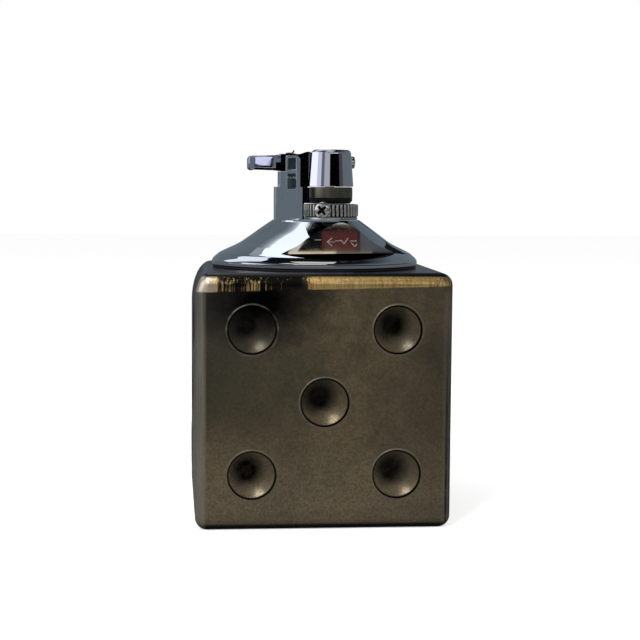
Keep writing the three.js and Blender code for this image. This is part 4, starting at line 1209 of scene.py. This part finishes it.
def teeth_tree():
    """A node group that sets copies of one tooth round a drum."""
    tree = bpy.data.node_groups.new("teeth_round", "GeometryNodeTree")
    for name, kind in (("Drum", "Geometry"), ("Tooth", "Object"), ("Count", "Int"), ("Radius", "Float"),
                       ("Height", "Float"), ("Paint", "Material")):
        tree.interface.new_socket(name=name, in_out="INPUT", socket_type="NodeSocket" + kind)
    tree.interface.new_socket(name="Wheel", in_out="OUTPUT", socket_type="NodeSocketGeometry")
    given = node(tree, "NodeGroupInput").outputs
    circle = node(tree, "GeometryNodeMeshCircle", {"Vertices": given["Count"], "Radius": given["Radius"]})
    lift = node(tree, "ShaderNodeCombineXYZ", {"Z": given["Height"]})
    places = node(tree, "GeometryNodeSetPosition", {"Geometry": circle.outputs[0], "Offset": lift.outputs[0]})
    tooth = node(tree, "GeometryNodeObjectInfo", {"Object": given["Tooth"]})
    index = node(tree, "GeometryNodeInputIndex").outputs[0]
    angle = times(folded("DIVIDE", index, given["Count"]), 2 * math.pi)
    turn = node(tree, "ShaderNodeCombineXYZ", {"Z": angle})
    copies = node(tree, "GeometryNodeInstanceOnPoints", {"Points": places.outputs[0],
                                                         "Instance": tooth.outputs["Geometry"],
                                                         "Rotation": turn.outputs[0]})
    real = node(tree, "GeometryNodeRealizeInstances", {0: copies.outputs[0]})
    whole = node(tree, "GeometryNodeJoinGeometry")
    tree.links.new(real.outputs[0], whole.inputs[0])
    tree.links.new(given["Drum"], whole.inputs[0])
    painted_whole = node(tree, "GeometryNodeSetMaterial", {"Geometry": whole.outputs[0],
                                                           "Material": given["Paint"]})
    node(tree, "NodeGroupOutput", {0: painted_whole.outputs[0]})
    return tree


wheel_teeth = teeth_tree()


def toothed(drum, tooth, count, radius_mm, height_mm, paint):
    """A drum with teeth round it, as one mesh; the loose tooth is gone."""
    change = drum.modifiers.new("teeth", "NODES")
    change.node_group = wheel_teeth
    values = {"Tooth": tooth, "Count": count, "Radius": radius_mm / 1000, "Height": height_mm / 1000,
              "Paint": paint}
    for socket in wheel_teeth.interface.items_tree:
        if socket.name in values:
            change[socket.identifier] = values[socket.name]
    applied(drum)
    bpy.data.objects.remove(tooth)
    return drum


def gap_blackened_nickel():
    """Dull warm nickel, painted black in the gaps between the teeth."""
    paint, tree = blank("dull_nickel")
    place, x, y, z = object_place(tree)
    flat = node(tree, "ShaderNodeCombineXYZ", {"X": plus(x, -burner_x), "Y": y}).outputs[0]
    reach = node(tree, "ShaderNodeVectorMath", {0: flat}, operation="LENGTH").outputs["Value"]
    grain = spots(place, 0.7, 4.0, 0.7)
    teeth_gap_black = times(span(reach, 7.1, 6.85), span(z, 80.2, 79.6), span(z, 76.3, 76.6),
                  span(grain, 0.2, 0.55, 0.75, 1.0))
    return coated(paint, between(teeth_gap_black, between(grain, 0xA6A196, 0xCDC9C0), 0x14120F),
                  plus(span(grain, 0.3, 0.7, 0.2, 0.34), times(teeth_gap_black, 0.3)), Metallic=1.0)


def adjusting_ring():
    drum = revolved("adjusting_ring", [
        (ring_bore, ring_foot), (ring_radius, ring_foot), (ring_radius, ring_top - ring_chamfer),
        (ring_radius - ring_chamfer, ring_top), (ring_bore, ring_top)], steps=128)
    collar = revolved("collar", collar_profile, steps=128)
    combined(drum, [collar], "UNION")
    tooth = smoothed(rounded_box("tooth", (-0.42, -0.3, -1.65), (0.42, 0.3, 1.5), 0.2, 3), 60.0)
    toothed(drum, tooth, ring_teeth, tooth_reach, ring_middle, nickel_paint)
    drum.data.transform(burner_place)
    return smoothed(drum, 35.0)


nickel_paint = gap_blackened_nickel()
dressed(adjusting_ring(), nickel_paint, "adjuster", "nickel", "adjusting_ring", mirrored=False)


# Ring screw: a pan head with a cross recess painted black inside, its shank in the ring
screw_turn = math.radians(-24.0)
screw_seat = 6.3
cross_turn = 0.72
cross_corners = ((0.42, -0.42), (1.45, -0.36), (1.45, 0.36))
cross_floor = 0.95


def in_recess(x, y, z, normal):
    return cross_floor - 0.05 < z < 1.19 and math.hypot(x, y) < 1.41


def ring_screw():
    screw = revolved("ring_screw", [(0.0, -2.6), (1.0, -2.6), (1.0, 0.0), (2.1, 0.0), (2.2, 0.1), (2.2, 0.55),
                                    (2.0, 0.95), (1.5, 1.2), (0.8, 1.29), (0.0, 1.3)], steps=64)
    cross = []
    for quarter in range(4):
        turn = Matrix.Rotation(cross_turn + quarter * math.pi / 2, 2)
        cross += [turn @ Vector(corner) for corner in cross_corners]
    recess = lofted("recess", [[(x, y, z) for x, y in cross] for z in (cross_floor, 2.0)])
    painted(tidy(combined(screw, [recess], "DIFFERENCE")), (screw_paint, recess_black_paint), in_recess)
    seat = Matrix.Translation((0.0, -screw_seat / 1000, ring_middle / 1000))
    screw.data.transform(burner_place @ Matrix.Rotation(screw_turn, 4, "Z") @ seat
                         @ Matrix.Rotation(math.pi / 2, 4, "X"))
    return smoothed(screw, 35.0)


# Worn nickel on the head, and black with a 0.4 mm grain in its recess
screw_paint = chromed("screw_nickel", 0xBDBAB2, 0.22)
recess_black_paint = moulded("recess_black", 0x0B0A09, 0.9, 0.4, 0.05)
dressed(ring_screw(), None, "adjuster", "nickel", "ring_screw", mirrored=False)


# Spark wheel: hardened steel, its rim cut with sharp slanting teeth that scrape the flint
wheel_radius = 3.02
wheel_half = 1.2
wheel_teeth_count = 26


def spark_wheel():
    wheel = revolved("spark_wheel", [
        (axle_hole, -wheel_half), (2.7, -wheel_half), (wheel_radius, -1.05), (wheel_radius, 1.05),
        (2.7, wheel_half), (axle_hole, wheel_half)])
    tooth = tidy(lofted("tooth", [[(-0.25, -0.3, z), (-0.25, 0.3, z), (0.33, slant, z)]
                                  for z, slant in ((-1.1, -0.12), (1.1, 0.12))]))
    toothed(wheel, tooth, wheel_teeth_count, wheel_radius, 0.0, wheel_paint)
    wheel.data.transform(on_axle)
    return smoothed(wheel, 25.0)


# Hardened steel, dark and dull from sparks
wheel_paint = chromed("wheel_steel", 0x4C4C4D, 0.32)
dressed(spark_wheel(), wheel_paint, "wheel", "steel", "spark_wheel", mirrored=False)


# Gasket: a black rubber ring between the skirt and the top of the die
gasket_profile = ((23.6, 63.58), (23.7, 63.54), (26.5, 63.54), (26.6, 63.62), (26.6, 63.98), (26.5, 64.05),
                  (23.6, 64.05))
gasket = smoothed(revolved("gasket_ring", gasket_profile, steps=128), 40.0)
# Black rubber with a 0.4 mm grain
rubber_paint = moulded("black_rubber", 0x121212, 0.55)
dressed(gasket, rubber_paint, "insert", "rubber", "gasket_ring")


# Flame marks: filled strokes in the facet that show which way the ring turns for more or less flame.
# Each point is given along the facet's foot and up its slope.
mark_half = 0.09
mark_past = 0.06
mark_lift = 0.03
mark_strokes = (
    ((-4.8, 5.1), (-3.2, 5.1)),
    ((0.0, 5.8), (-1.7, 4.3), (-0.8, 2.8)),
    ((-1.6, 4.3), (0.2, 4.3)),
    ((0.6, 4.7), (2.1, 4.7)),
    ((2.2, 5.0), (2.7, 3.6), (4.3, 5.7)),
    ((4.6, 4.6), (6.4, 4.6)),
    ((4.7, 3.9), (5.3, 2.5), (6.1, 3.5)),
)


def flame_marks():
    out = facet_normals()[0]
    along = Vector((math.cos(facet_turn), math.sin(facet_turn), 0.0))
    up = out.cross(along)
    foot = Vector((math.sin(facet_turn), -math.cos(facet_turn), 0.0)) * facet_foot_reach
    foot += Vector((0, 0, facet_foot))
    points, faces = [], []
    for stroke in mark_strokes:
        for start, end in zip(stroke, stroke[1:]):
            a, b = [foot + along * u + up * v for u, v in (start, end)]
            run = (b - a).normalized()
            side = run.cross(out) * mark_half
            first = len(points)
            for lift in (-mark_lift, mark_lift):
                for tip, past in ((a, -mark_past), (b, mark_past)):
                    points += [tip + run * past + across + out * lift for across in (-side, side)]
            faces += [tuple(first + i for i in face) for face in box_faces]
    return reworked(shaped("flame_marks", points, faces), faced_out)


# Grey enamel fill with a 0.2 mm grain
mark_paint = moulded("grey_fill", 0x8E8884, 0.5, 0.2)
dressed(flame_marks(), mark_paint, "insert", "chrome", mirrored=False)


# Pieces kept from the CAD model: each gets the look of what it is made of.
def fibrous(name, dark, light, strand_mm, stretch, fuzz):
    """Felt or cotton: mixed strands, matt, with a fuzzy sheen at grazing angles."""
    paint, tree = blank(name)
    place = object_place(tree)[0]
    strands = spots(place, strand_mm, 6.0, 0.8, stretch)
    colour = between(span(plus(strands, spots(place, strand_mm * 4, 3.0)), 0.7, 1.3), dark, light)
    return coated(paint, colour, 0.95, Normal=bumped(strands, 0.7, strand_mm / 4), Sheen_Weight=fuzz)


def smoked_nylon():
    """Smoky see-through nylon, with the swirls of its moulding."""
    paint, tree = blank("smoked_nylon")
    place = object_place(tree)[0]
    swirl = spots(place, 9.0, 3.0, 0.5, (1.0, 1.0, 4.0))
    return coated(paint, between(swirl, 0x3F3A33, 0x5B5348), span(spots(place, 0.8), 0.3, 0.7, 0.22, 0.34),
                  Transmission_Weight=0.35)


# Zinc plate, drawn spring steel and turned brass; pressed flint alloy; black wool felt with 0.25 mm strands;
# a cotton wick with 0.3 mm strands; smoked nylon with 9 mm swirls
zinc_paint = chromed("zinc_plate", 0xA9AAA6, 0.3)
spring_paint = chromed("spring_steel", 0x8F8D88, 0.22)
brass_paint = chromed("turned_brass", 0xB3924F, 0.2)
flint_paint = moulded("flint_alloy", 0x3B3936, 0.6, 0.15)
felt_paint = fibrous("black_felt", 0x0B0D0C, 0x23282A, 0.25, (1.0, 3.0, 1.0), 0.4)
wick_paint = fibrous("cotton_wick", 0xB9B09A, 0xE4DECB, 0.3, (1.0, 1.0, 8.0), 0.2)
kept_nodes = (
    (felt_paint, ("felt_pad",)),
    (zinc_paint, ("base_plate", "base_screw_1", "base_screw_2", "base_screw_3", "base_screw_4")),
    (smoked_nylon(), ("fuel_tank", "tank_lid")),
    (brass_paint, ("valve_body", "filler_valve", "filler_pin", "burner_nozzle", "flint_screw")),
    # The flint tube takes the dark blued steel as painted shade, so that it reads dark inside the post's
    # window
    (plate_paint, ("flint_tube",)),
    (spring_paint, ("friction_band", "nozzle_spring", "flint_spring", "lever_spring", "wheel_axle",
                    "ratchet_wheel", "drive_pawl")),
    (rubber_paint, ("lid_seal", "cap_seal")),
    (flint_paint, ("flint",)),
    (wick_paint, ("wick",)),
)
for paint, names in kept_nodes:
    for name in names:
        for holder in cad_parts[name].material_slots:
            holder.material = paint
for name in ("flint_tube", "wheel_axle", "ratchet_wheel", "drive_pawl", "lever_spring", "burner_nozzle",
             "valve_body"):
    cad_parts[name].visible_glossy = False


# Refill spring: fine steel wire behind the refill pin, in the filler valve
refill_spring = added("refill_spring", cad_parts["filler_spring"].data.copy())
dressed(refill_spring, spring_paint, "insert", "steel", "filler_spring")
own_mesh(refill_spring)
